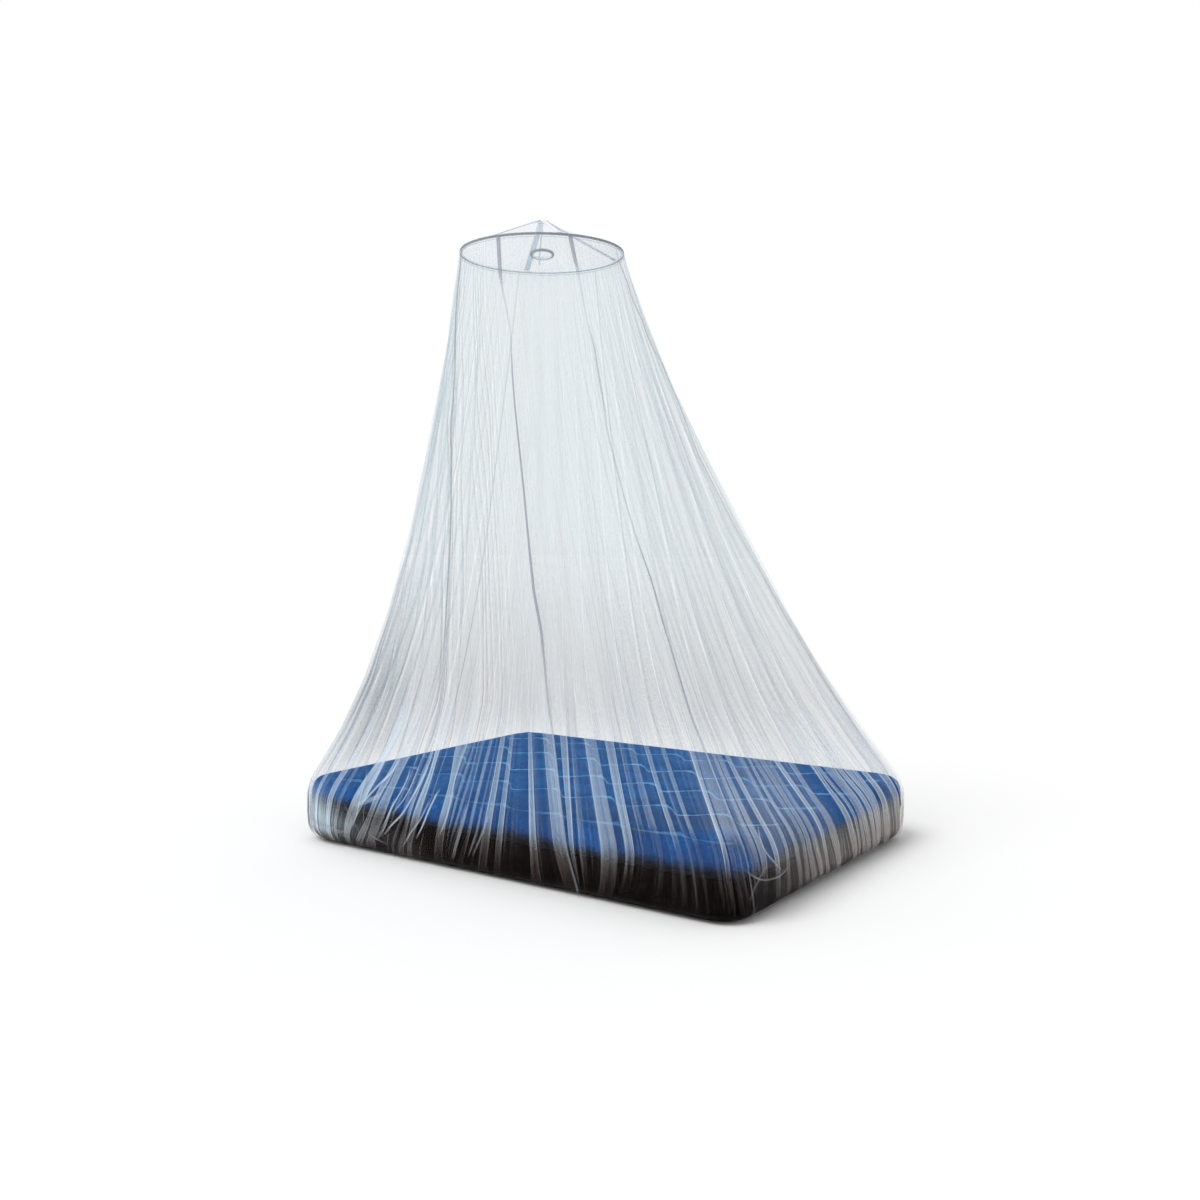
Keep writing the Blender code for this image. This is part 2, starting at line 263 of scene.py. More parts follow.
# --- Flocked top ---
# Short blue flock covers the top skin and wraps over the shoulder. The skins are
# welded together along five wavy lines, which draw it down between the air beams.
TOP_INSET = 0.045
SEAM_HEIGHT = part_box("mattress_top")[0].z
RIM_HEIGHT = 0.245
CREST_HEIGHT = 0.254
TOP_COLUMNS = 280
TOP_ROWS = 206
# Down the shoulder: (height, growth of the plan outline).
SHOULDER = ((0.245, -0.0445), (0.2438, -0.036), (0.241, -0.027), (0.235, -0.0182), (0.226, -0.011),
            (0.213, -0.0057), (0.197, -0.002), (0.175, -0.0006), (SEAM_HEIGHT, 0.0))


def plan_point(x, y, growth):
    """Points of the square-cornered top moved to the round-cornered plan and grown outward."""
    core_x, core_y = LENGTH / 2 - CORNER, WIDTH / 2 - CORNER
    radius = CORNER - TOP_INSET
    across = np.clip(np.abs(x) - core_x, 0, None) / radius
    along = np.clip(np.abs(y) - core_y, 0, None) / radius
    out_x = across * np.sqrt(1 - along**2 / 2) * (radius + growth)
    out_y = along * np.sqrt(1 - across**2 / 2) * (radius + growth)
    return (
        np.copysign(np.minimum(np.abs(x), core_x) + out_x, x),
        np.copysign(np.minimum(np.abs(y), core_y) + out_y, y),
    )


def top_mesh():
    """The top before it is welded: a flat skin and its shoulder, with the distance in from the rim."""
    half_x, half_y = LENGTH / 2 - TOP_INSET, WIDTH / 2 - TOP_INSET
    lines = np.linspace(-half_x, half_x, TOP_COLUMNS), np.linspace(-half_y, half_y, TOP_ROWS)
    grid_x, grid_y = np.meshgrid(*lines, indexing="ij")
    x, y = plan_point(grid_x, grid_y, 0.0)
    flat = np.stack([x, y, np.full_like(x, RIM_HEIGHT)], -1).reshape(-1, 3)
    index = np.arange(TOP_COLUMNS * TOP_ROWS).reshape(TOP_COLUMNS, TOP_ROWS)
    cells = [index[:-1, :-1], index[1:, :-1], index[1:, 1:], index[:-1, 1:]]
    faces = np.stack(cells, -1).reshape(-1, 4)
    edge = np.concatenate([index[:-1, 0], index[-1, :-1], index[:0:-1, -1], index[0, :0:-1]])
    rim_x, rim_y = grid_x.ravel()[edge], grid_y.ravel()[edge]
    points, rows = [flat], [edge]
    count = len(flat)
    for height, growth in SHOULDER:
        shoulder_x, shoulder_y = plan_point(rim_x, rim_y, TOP_INSET + growth)
        points.append(np.column_stack([shoulder_x, shoulder_y, np.full_like(shoulder_x, height)]))
        rows.append(np.arange(count, count + len(edge)))
        count += len(edge)
    walls = [np.stack([upper, lower, np.roll(lower, -1), np.roll(upper, -1)], -1)
             for upper, lower in zip(rows, rows[1:])]
    mesh = bpy.data.meshes.new("mattress_top_flat")
    everything = [*faces.tolist(), *np.concatenate(walls).tolist(), rows[-1][::-1].tolist()]
    mesh.from_pydata(np.concatenate(points), [], everything)
    inset = np.zeros(count, np.float32)
    inset[: len(flat)] = np.minimum(half_x - np.abs(grid_x), half_y - np.abs(grid_y)).ravel()
    mesh.attributes.new("inset", "FLOAT", "POINT").data.foreach_set("value", inset)
    mesh.shade_smooth()
    return mesh


def node_group(name, sizes):
    """An empty Geometry Nodes tree with a geometry in and out, and its sizes as named inputs."""
    tree = bpy.data.node_groups.new(name, "GeometryNodeTree")
    tree.interface.new_socket("Geometry", in_out="OUTPUT", socket_type="NodeSocketGeometry")
    tree.interface.new_socket("Geometry", in_out="INPUT", socket_type="NodeSocketGeometry")
    kinds = {float: "NodeSocketFloat", int: "NodeSocketInt", bpy.types.Material: "NodeSocketMaterial"}
    for label, value in sizes.items():
        tree.interface.new_socket(label, in_out="INPUT", socket_type=kinds[type(value)])
    entry = tree.nodes.new("NodeGroupInput")
    given = {s.name: Shade(tree, s) for s in entry.outputs if s.name}
    return tree, given


def close_group(tree, geometry, material):
    """Ends a tree in real geometry with its material."""
    real = geometry.node("GeometryNodeRealizeInstances", {}, {"Geometry": geometry})
    worn = real.node("GeometryNodeSetMaterial", {}, {"Geometry": real, "Material": material})
    tree.links.new(worn.output, tree.nodes.new("NodeGroupOutput").inputs["Geometry"])


def grown_mesh(name, mesh, tree, sizes):
    """Runs a tree on a mesh with its sizes set, and gives the result as a plain mesh."""
    maker = bpy.data.objects.new(name + "_maker", mesh)
    put_in_scene(maker)
    modifier = maker.modifiers.new("made", "NODES")
    modifier.node_group = tree
    for socket in tree.interface.items_tree:
        if socket.in_out == "INPUT" and socket.name in sizes:
            modifier[socket.identifier] = sizes[socket.name]
    graph = bpy.context.evaluated_depsgraph_get()
    made = bpy.data.meshes.new_from_object(maker.evaluated_get(graph))
    made.name = name
    bpy.data.objects.remove(maker)
    return made


flock, shader, place = finish("flock")
channel_sizes = {
    "Channel": CHANNEL, "First Weld": FIRST_WELD, "Half Width": WIDTH / 2 - TOP_INSET,
    "Wave Length": 0.24, "Wave Reach": 0.045, "Wave Start": 0.07,
    "Groove Depth": 0.011, "Groove Width": 0.021, "Pucker": 0.0016, "Pucker Length": 0.027,
    "Rise": CREST_HEIGHT - RIM_HEIGHT, "Rim Width": 0.05, "Material": flock,
}
tree, given = node_group("welded_channels", channel_sizes)
x, y, z = Shade(tree).node("GeometryNodeInputPosition", {}, {}).axes()
inset = Shade(tree).node("GeometryNodeInputNamedAttribute", {"data_type": "FLOAT"}, {"Name": "inset"})
turn = (x + given["Wave Start"]) / given["Wave Length"] * (2 * math.pi)
room = (given["Half Width"] - y.to("ABSOLUTE")) / (given["Wave Reach"] * 2.2)
swing = turn.to("SINE") * given["Wave Reach"] * room.to("MINIMUM", 1.0)
across = (y - given["First Weld"] - swing) / given["Channel"]
off = (across - across.to("ROUND")).to("ABSOLUTE")
from_weld = off * given["Channel"]
groove = (from_weld / given["Groove Width"]).bell()
hollow = 1.0 - (off * math.pi).to("SINE")
straying = Shade(tree).node("ShaderNodeTexNoise", {}, {"Scale": 9.0, "Detail": 1.0}) * 9.0
pucker = (x / given["Pucker Length"] * (2 * math.pi) + straying).to("SINE") * given["Pucker"]
pucker = pucker * (from_weld / (given["Groove Width"] * 2.2)).bell() * (1.0 - groove)
risen = (inset / given["Rim Width"]).ramp(0.0, 1.0)
lift = (given["Rise"] - given["Groove Depth"] * (groove * 0.74 + hollow * 0.26) + pucker) * risen
moved = {"Geometry": given["Geometry"], "Offset": lift.node("ShaderNodeCombineXYZ", {}, {"Z": lift})}
welded = lift.node("GeometryNodeSetPosition", {}, moved)
# The weld distance kept for the material is stretched on the falling slope of each wave, so that the painted
# highlight along the weld comes out thinner there.
falling = (-turn.to("COSINE")).to("MAXIMUM", 0.0)
stored = {"Geometry": welded, "Name": "from_weld", "Value": from_weld * (1.0 + falling * 2.2)}
welded = welded.node("GeometryNodeStoreNamedAttribute", {"data_type": "FLOAT", "domain": "POINT"}, stored)
close_group(tree, welded, given["Material"])
top = grown_mesh("mattress_top_flocked", top_mesh(), tree, channel_sizes)

weld = place.kept("from_weld")
in_from_rim = place.kept("inset").ramp(0.0, 0.03)
x, y, height = place.axes()
pile = place.noise(900.0, 2.0)
lay = place.noise(11.0, 3.0, 0.6).ramp(0.3, 0.7)
scuff = place.noise(3.2, 4.0, 0.6).ramp(0.45, 0.75)
blue = (lay * 0.7 + scuff * 0.3).blend((0.008, 0.08, 0.29, 1), (0.026, 0.165, 0.49, 1))
blue = (place.noise(75.0, 3.0, 0.6).ramp(0.35, 0.65) * 0.6).blend(blue, (0.005, 0.054, 0.2, 1))
# The mask worn is no wear: it only makes the flock darker and more purple towards the front right.
worn = (x * 0.55 - y).ramp(0.3, 0.95) * place.noise(4.0, 3.0, 0.6).ramp(0.25, 0.6)
blue = (worn * 0.72).blend(blue, (0.02, 0.04, 0.13, 1))
# A lighter line along each weld: partly pressed flock and partly a painted highlight, shaped along the wave
# and across the top. The darkening beside it, shaded, is painted shade in the groove.
line = weld / y.ramp(-0.55, -0.1, 1.0, 1.45)
pressed_and_highlit = line.ramp(0.0075, 0.0165, 1.0, 0.0) * in_from_rim * y.ramp(-0.68, -0.5, 0.45, 1.0)
shaded = weld.ramp(0.004, 0.03, 1.0, 0.0) * in_from_rim
blue = (shaded * 0.25).blend(blue, (0.012, 0.062, 0.215, 1))
blue = (pressed_and_highlit * place.noise(16.0, 3.0).ramp(0.25, 0.6, 0.45, 0.9)).blend(blue, (0.14, 0.38, 0.66, 1))
edge_height = 0.142 + place.noise(5.0, 4.0, 0.6) * 0.06
dark = (height - edge_height).ramp(-0.018, 0.03, 1.0, 0.0)
feed(
    shader,
    Base_Color=dark.blend(blue, (0.0045, 0.0034, 0.0034, 1)),
    Roughness=0.92 - dark * 0.35,
    Specular_IOR_Level=0.08,
    Sheen_Weight=0.08,
    Sheen_Roughness=0.4,
    Sheen_Tint=(0.45, 0.65, 1.0, 1),
    Normal=(pile * 0.35 + place.noise(60.0, 3.0) * 0.65).bump(0.5, 0.004),
)
fit(top, flock, "flock", "mattress_top")


# --- Net wall ---
# Knitted polyester netting hangs from the hoop and falls over the mattress to the
# floor. It follows the solid's folds, with pleats folded back on themselves where
# the extra cloth gathers, and it is drawn together where it is tucked on the floor.
HOOP_LOW, HOOP_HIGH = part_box("hoop")
AXIS = Vector(((HOOP_LOW.x + HOOP_HIGH.x) / 2, (HOOP_LOW.y + HOOP_HIGH.y) / 2, 0.0))
HOOP_HEIGHT = (HOOP_LOW.z + HOOP_HIGH.z) / 2
NET_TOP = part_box("net_wall")[1].z
NET_HALF_THICKNESS = 0.0011
# The solid's surface is read at this step in bearing and this many heights, and eased a little.
TABLE_STEP = 0.5
TABLE_HEIGHTS = 200
TABLE_ENDS = 0.001
# Open cloth has a column about every OPEN_STEP degrees. Its width is measured at one height.
OPEN_STEP = 1.1
MEASURED_AT = 0.25
# How a pleat folds back: (share of its width, share of its lift, crease, filling).
PLEAT = (
    (-0.12, 0, 0, 0), (0.1, 0.5, 0, 0.5), (0.6, 1.1, 0, 0.9), (0.95, 1.06, 0.2, 1.1), (1, 0.92, 1, 1.1),
    (0.95, 0.8, 0.2, 1), (0.5, 0.66, 0, 0.6), (0.05, 0.58, 0.2, 0.9), (0, 0.45, 1, 1),
    (0.05, 0.3, 0.2, 1), (0.45, 0.1, 0, 0.7), (0.9, 0, 0, 0.6), (1.12, 0, 0, 0),
)
# Pleats that show: (bearing where it hangs, width in degrees, density).
# A negative width folds the other way.
PLEATS = (
    (-151, 2.6, 0.6), (-146.6, 1.2, 0.75), (-142.6, 1.6, 0.7), (-137.9, 2.2, 0.95), (-132.6, -1.2, 0.3),
    (-124.9, 4.8, 1.6), (-116.8, 3, 1), (-112.9, -3.2, 1), (-106, 0.8, 0.45), (-102.4, 0.8, 0.45),
    (-100.6, 2.3, 0.75), (-97.4, 3.3, 1.1), (-91.4, 0.8, 0.3), (-84.4, 4.2, 1), (-78.3, 0.9, 0.65),
    (-76.1, 1.1, 0.6), (-73.5, 0.8, 0.35), (-70.7, 1.2, 0.45), (-68.2, 0.6, 0.25), (-66.6, 1.8, 0.85),
    (-63.3, 1.2, 0.75), (-57.8, 1.1, 1), (-53.1, 3, 0.8), (-47.5, 2.2, 0.85), (-44.4, -1, 0.25),
    (-41.3, -2.3, 0.9), (-37.2, 1.8, 0.95), (-34.2, 0.7, 0.3), (-32.8, 0.8, 0.35), (-30.6, 0.45, 0.8),
    (-28.5, 0.5, 0.6), (-24.4, 0.5, 1.3), (-23.7, 1.3, 0.25), (-21.7, 0.5, 0.55), (-20.8, 0.8, 0.5),
    (-18.6, 0.7, 0.75), (-15.9, 0.6, 0.35), (-13.6, 0.7, 0.6), (-11.6, 1, 0.5), (-9.9, 1.1, 0.7),
    (-7.9, 1.2, 0.45), (-4.8, 0.9, 0.95), (-1.5, 1.6, 0.6), (4.7, 1.3, 1.4), (7.6, 0.7, 1.05),
    (9.9, 1, 0.45), (11.7, 1.5, 1.1), (14.7, 1.2, 1.1), (16.9, 1.2, 0.95), (19, 1.1, 1.4),
    (22.9, 2, 1.2), (28.4, 2.6, 0.75), (32.6, 1.4, 0.75), (36, 1.8, 0.5), (42, -2.4, 0.7),
    (48.4, 2, 0.55), (54, 2.8, 0.8), (60.4, -1.8, 0.5), (66, 2.6, 0.7), (73, 1.6, 0.45),
    (79.6, -3, 0.8), (86, 2.2, 0.6), (92.6, 1.6, 0.5), (99, 3, 0.85), (106, -2.2, 0.6),
    (112.4, 1.8, 0.5), (119, 2.8, 0.8), (125.4, -1.8, 0.5), (131, 2.2, 0.7), (137, 2.8, 0.85),
    (143.4, -2, 0.6), (149.6, 2.4, 0.7), (156, 1.6, 0.5), (162, -3, 0.85), (168.4, 2, 0.6),
    (174.6, 1.6, 0.5), (181, 2.6, 0.8), (187.4, -1.8, 0.6), (193.6, 2.4, 0.7), (200.4, 1.6, 0.5),
)
# Down the net: (height, lift of a pleat, crease, filling of a fold, cover of the open cloth, lit).
PLEAT_LEVELS = (
    (0, 0.005, 0, 0, 0.004, 0), (0.03, 0.005, 0.1, 0.02, 0.008, 0), (0.08, 0.006, 0.3, 0.045, 0.018, 0),
    (0.13, 0.0065, 0.44, 0.09, 0.03, 0.15), (0.17, 0.0065, 0.64, 0.15, 0.055, 0.6),
    (0.22, 0.007, 0.76, 0.205, 0.075, 1), (0.4, 0.01, 0.72, 0.21, 0.13, 1),
    (0.62, 0.012, 0.3, 0.07, 0.21, 1), (1, 0.014, 0.13, 0.03, 0.225, 1),
    (1.6, 0.012, 0.09, 0.02, 0.215, 1), (2.1, 0.006, 0.1, 0.02, 0.2, 1),
    (2.235, 0.002, 0.14, 0.06, 0.2, 1), (2.26, 0.0006, 0.16, 0.08, 0.16, 1),
)
# Where the cloth lies closer over a wide place: (bearing, reach, lowest, highest, density, lit).
CLOSER = (
    (-152, 10, 0.04, 0.25, 0.95, 0.62), (-140, 6, 0.04, 0.2, 0.5, 0.62),
    (-128, 11, 0.04, 0.17, 0.24, 0.75), (-112, 9, 0.04, 0.15, 0.1, 0.25),
    (-96, 7, 0.02, 0.13, 0.08, 0.2), (-28, 6, -0.1, 0.3, -0.8, 0), (-16, 7, 0.15, 0.6, 0.16, 0),
    (-3, 4, 0.15, 0.58, 0.12, 0), (15, 6, 0.15, 0.5, 0.05, 0), (28, 4, 0.15, 0.45, 0.08, 0),
    (0, 14, 0.05, 0.2, 0.46, 0.3), (24, 13, 0.05, 0.21, 0.68, 0.32),
)
# Where the open cloth looks closer or thinner: (bearing, reach, lowest, highest, share of its cover).
THICKER = ((-150, 24, 0.25, 1.1, 0.75), (30, 28, 0.25, 1.3, -0.24), (-75, 22, 0.25, 0.8, 0.06))
# How much thinner folded cloth is drawn, up the net: (height, share taken off each layer).
FOLD_THINNING = ((0, 0.5), (0.2, 0.6), (0.34, 0.68), (2.26, 0.66))
# Behind the mattress, between these bearings, the pleats show less and the open cloth more:
# (height, share of the cover).
BACK_FROM, BACK_TO = 42, 200
BACK_SHARE = 0.4
BACK_COVER = ((0, 1), (0.2, 1), (0.35, 1.7), (0.62, 1.2), (1, 1), (2.26, 1))
# How far the cloth has turned back at the hoop: (bearing where it hangs, degrees).
TURN_BACK = (
    (-155, 20), (-105, 25), (-52, 31), (-21, 11), (31, 12), (100, 8), (160, 12), (205, 20),
)
TURN_FROM = 0.5
TURN_POWER = 1.4
# How far the cloth leans sideways by the time it reaches the floor: (bearing where it hangs, degrees).
LEAN = (
    (-155, 0), (-146, -2), (-136, -7), (-126, -15), (-112, -20), (-84, -20), (-70, -17), (-62.5, -7),
    (-57, 3), (-51, 6), (-45.5, 1), (-39.5, 4), (-35, 2), (-29, 2.5), (-24, 0), (-19, 6), (-12, 10),
    (-2, 11), (6, 13), (17, 10), (23, 7.5), (31, 4), (42, 0), (205, 0),
)
LEAN_HEIGHT = 0.62
# Where the cloth is drawn together on the floor: (bearing it is drawn to, reach in degrees, share).
TUCKS = (
    (-138, 7, 0.45), (-95, 9, 0.6), (-41, 9, 0.66), (-18, 7, 0.6), (9, 6, 0.5), (21, 8, 0.3),
    (48, 9, 0.4), (99, 10, 0.5), (140, 9, 0.45), (178, 9, 0.45),
)
TUCK_HEIGHT = 0.2
TUCK_POWER = 1.5
# The upper hem is double: (height it starts at, height it takes, density).
UPPER_HEM = (2.19, 0.06, 0.1)


def read_rows(rows, place, column):
    """One column of a table, read between its rows."""
    return np.interp(place, [row[0] for row in rows], [row[column] for row in rows])


def smoothed(values, spread, wrap):
    """A table eased along its first axis, joined end to end where it wraps."""
    reach = int(3 * spread) + 1
    weights = np.exp(-0.5 * (np.arange(-reach, reach + 1) / spread) ** 2)
    weights /= weights.sum()
    how = {"mode": "wrap"} if wrap else {"mode": "reflect", "reflect_type": "odd"}
    padded = np.pad(values, ((reach, reach), (0, 0)), **how)
    return sum(w * padded[k : k + len(values)] for k, w in enumerate(weights))


def wall_radius_table():
    """The net's distance from the hoop's axis by bearing and height, taken from the solid."""
    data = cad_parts["net_wall"].data
    faces = [tuple(polygon.vertices) for polygon in data.polygons]
    solid = BVHTree.FromPolygons([vertex.co for vertex in data.vertices], faces)
    bearings = np.radians(np.arange(-180, 180, TABLE_STEP))
    levels = np.linspace(TABLE_ENDS, NET_TOP - TABLE_ENDS, TABLE_HEIGHTS)
    table = np.zeros((len(bearings), TABLE_HEIGHTS))
    for i, bearing in enumerate(bearings):
        out = Vector((math.cos(bearing), math.sin(bearing), 0.0))
        for j, level in enumerate(levels):
            table[i, j] = solid.ray_cast(Vector((AXIS.x, AXIS.y, level)), out)[3]
    table = smoothed(table, 1.6, True)
    return smoothed(table.T, 1.2, False).T + NET_HALF_THICKNESS, levels


def about_axis(turn, radius, height):
    """Points at a turn round the hoop's axis, a distance from it and a height."""
    x, y = AXIS.x + radius * np.cos(turn), AXIS.y + radius * np.sin(turn)
    return np.stack([x, y, height + 0 * x], -1)


def unit(rows):
    """Directions of length 1."""
    return rows / np.linalg.norm(rows, axis=1, keepdims=True)


def table_at(bearing, height):
    """The net's distance from the axis, read between the table's places."""
    along = ((bearing + 180) % 360) / TABLE_STEP
    up = np.interp(height, wall_levels, np.arange(TABLE_HEIGHTS))
    i, j = np.floor(along).astype(int), np.minimum(np.floor(up).astype(int), TABLE_HEIGHTS - 2)
    s, t = along - i, up - j
    i, after = i % len(wall_table), (i + 1) % len(wall_table)
    low = wall_table[i, j] * (1 - s) + wall_table[after, j] * s
    high = wall_table[i, j + 1] * (1 - s) + wall_table[after, j + 1] * s
    return low * (1 - t) + high * t


def cloth_point(hung, height, lift):
    """Where a place of the cloth is. Its column hangs at one bearing between mattress and hoop."""
    climbed = np.clip((height - TURN_FROM) / (HOOP_HEIGHT - TURN_FROM), 0, 1) ** TURN_POWER
    wrapped = (hung + 155) % 360 - 155
    fallen = np.clip(1 - height / LEAN_HEIGHT, 0, 1)
    leant = wrapped + read_rows(LEAN, wrapped, 1) * fallen
    bearing = leant - read_rows(TURN_BACK, wrapped, 1) * climbed
    drawn = np.clip(1 - height / TUCK_HEIGHT, 0, 1) ** TUCK_POWER
    for middle, reach, share in TUCKS:
        off = leant - middle
        bearing = bearing - share * off * np.exp(-((off / reach) ** 2)) * drawn
    return about_axis(np.radians(bearing), table_at(bearing, height) + lift, height)


def net_columns():
    """The cloth's columns in order: (bearing where it hangs, lift share, crease, filling)."""
    found = []
    rows = [*PLEATS, (PLEATS[0][0] + 360, PLEATS[0][1], PLEATS[0][2])]
    for (start, width, dense), (following, _, _) in zip(rows, rows[1:]):
        shape = PLEAT if width > 0 else [(1 - at, *rest) for at, *rest in reversed(PLEAT)]
        if BACK_FROM < start < BACK_TO:
            dense = dense * BACK_SHARE
        for at, lift, crease, filling in shape:
            found.append((start + abs(width) * at, lift, crease * dense, filling * dense))
        begin, end = found[-1][0], following + PLEAT[0][0] * abs(width)
        steps = max(1, round((end - begin) / OPEN_STEP))
        found += [(begin + (end - begin) * k / steps, 0.0, 0.0, 0.0) for k in range(1, steps)]
    return np.array(found).T


def inside(middle, reach, low, high, ease, fade):
    """How far each place of the cloth is inside a patch of it: 1 well inside, 0 outside."""
    near = np.exp(-(((wrapped - middle) / reach) ** 2)) * np.clip((heights - low) / ease + 0.5, 0, 1)
    return near * np.clip((high - heights) / (high - low) / fade, 0, 1)


wall_table, wall_levels = wall_radius_table()
hung, lift_share, creased, filled = net_columns()
row_heights = np.concatenate([
    np.linspace(0.0, 0.04, 5), np.linspace(0.055, 0.3, 20), np.linspace(0.325, 0.6, 11),
    np.linspace(0.65, 2.15, 34), np.linspace(2.17, NET_TOP, 6),
])
heights = row_heights[:, None]
lift, crease, filling, cover, lit = [read_rows(PLEAT_LEVELS, heights, part) for part in range(1, 6)]
net_points = cloth_point(hung[None, :], heights, lift_share * lift)
net = quad_mesh("net_wall_cloth", net_points)
hem_from, hem_takes, hem_density = UPPER_HEM
doubled = np.clip((heights - hem_from) / hem_takes, 0, 1) * hem_density
density = creased * crease + filled * filling + doubled
wrapped = (hung + 180) % 360 - 180
for *patch, dense, shone in CLOSER:
    near = inside(*patch, ease=0.05, fade=0.5)
    density = density + dense * near
    lit = lit + shone * near
cover = cover * (1 - (filled > 0) * read_rows(FOLD_THINNING, heights, 1))
behind = (wrapped > BACK_FROM) | (wrapped < BACK_TO - 360)
cover = cover * np.where(behind, read_rows(BACK_COVER, heights, 1), 1.0)
cover = cover * (1.0 + sum(share * inside(*patch, ease=0.08, fade=0.6) for *patch, share in THICKER))
edge_row = net_points[np.searchsorted(row_heights, MEASURED_AT)]
steps = np.linalg.norm(np.diff(edge_row, axis=0, append=edge_row[:1]), axis=1)
along_cloth = np.concatenate([[0.0], np.cumsum(steps)])


def lay_cloth(mesh, gathered, cover, lit, across, down):
    """Keeps how closely the cloth is gathered, its open cover, its light, and its place when flat."""
    for name, values in (("gathered", gathered), ("cover", cover), ("lit", lit)):
        values = np.broadcast_to(values, (len(down), len(across) - 1))
        mesh.attributes.new(name, "FLOAT", "POINT").data.foreach_set("value", np.float32(values).ravel())
    corner = np.zeros(len(mesh.loops), int)
    mesh.loops.foreach_get("vertex_index", corner)
    columns_of = (corner % (len(across) - 1)).reshape(-1, 4)
    rows_of = corner // (len(across) - 1)
    last = (np.ptp(columns_of, axis=1) > 1)[:, None] & (columns_of == 0)
    columns_of = np.where(last, len(across) - 1, columns_of).ravel()
    flat = np.column_stack([across[columns_of], down[rows_of]])
    mesh.uv_layers.new(name="cloth").data.foreach_set("uv", np.float32(flat).ravel())


lay_cloth(net, np.clip(density, 0, 1), cover, np.clip(lit, 0, 1), along_cloth, row_heights)


def netting(name, film, thread):
    """See-through netting: a thin film where it lies open (at the floor, low, high) and paler, closer
    thread where it is gathered (in shade, low, high). The film's dark floor colour is painted shade
    low down, and the kept lit number paints light and shade on the gathered thread."""
    made, shader, place = finish(name)
    gathered, cover, lit = [place.kept(number) for number in ("gathered", "cover", "lit")]
    cloth = place.node("ShaderNodeUVMap", {"uv_map": "cloth"}, {})
    wales = cloth.stretched(58.0, 0.55).noise(1.0, 3.0, 0.65).ramp(0.5, 0.78)
    fine_wales = cloth.stretched(210.0, 3.0).noise(1.0, 2.0, 0.6).ramp(0.35, 0.65)
    drawn = cloth.stretched(120.0, 1.1).noise(1.0, 2.0, 0.6).ramp(0.36, 0.66)
    ridges = cloth.stretched(165.0, 0.8).noise(1.0, 1.0, 0.5).ramp(0.56, 0.68)
    clouds = cloth.stretched(7.0, 4.0).noise(1.0, 3.0, 0.6).ramp(0.35, 0.7)
    along, _, height = place.axes()
    streaks = wales * (0.25 + clouds * 0.55) * height.ramp(0.35, 0.95, 0.4, 0.13)
    folded = gathered * (0.45 + drawn * 0.7 + ridges * 0.45)
    loose = (streaks + ridges * height.ramp(0.3, 0.6, 0.05, 0.0)) * height.ramp(0.02, 0.16, 0.1, 1.0)
    grain = cloth.stretched(150.0, 150.0).noise(1.0, 2.0, 0.6).ramp(0.3, 0.7, 0.7, 1.3)
    thin = cover * (0.82 + fine_wales * 0.36) * grain
    thick = (folded + loose * cover.ramp(0.0, 0.002)) * 0.72
    open_colour = height.ramp(0.45, 1.3).blend(film[1], film[2])
    open_colour = height.ramp(0.12, 0.24).blend(film[0], open_colour)
    close_colour = lit.blend(thread[0], height.ramp(0.38, 0.7).blend(thread[1], thread[2]))
    # Painted light: towards the right end, which the lamp leaves in shade, gathered thread is paled to
    # bluish white higher up and brownish grey near the floor.
    painted_light_right = height.ramp(0.1, 0.24).blend((0.56, 0.51, 0.51, 1), (0.88, 0.96, 1.0, 1))
    close_colour = (along.ramp(0.5, 0.95) * 0.85).blend(close_colour, painted_light_right)
    colour = (thick / (thin + thick + 0.0005)).blend(open_colour, close_colour)
    feed(shader, Base_Color=colour, Alpha=thin + thick, Specular_IOR_Level=0.1, Roughness=0.85)
    return made


net_film = netting(
    "netting",
    film=((0.11, 0.08, 0.075, 1), (0.05, 0.11, 0.17, 1), (0.42, 0.56, 0.62, 1)),
    thread=((0.3, 0.235, 0.215, 1), (0.73, 0.88, 0.99, 1), (0.8, 0.87, 0.92, 1)),
)
wall = fit(net, net_film, "netting", "net_wall")


# --- Crossing folds ---
# Where the net is tucked in at the left end and at the front corner, loose folds of it
# lie across the others. Each is a soft ridge of the same cloth.
FOLD_ROWS = 26
FOLD_RIDGE = 0.003
FOLD_LIFT_SHARE = 1.1
FOLD_CLEAR = 0.0006
FOLD_LOWEST = 0.006
FOLD_END = 0.2
SHADED_BELOW = 0.17
LEAST_LIT = 0.35
# Each fold lies this much further on in the netting's pattern.
PATTERN_STEP = 0.37
# Across a fold: (share of its width, share of its ridge, share of its gathering). The last row only
# ends the netting's pattern.
FOLD_SECTION = ((-0.5, 0, 0), (-0.3, 0.6, 0.8), (0, 1, 0.8), (0.32, 0.6, 1.1), (0.5, 0, 0), (0.6, 0, 0))
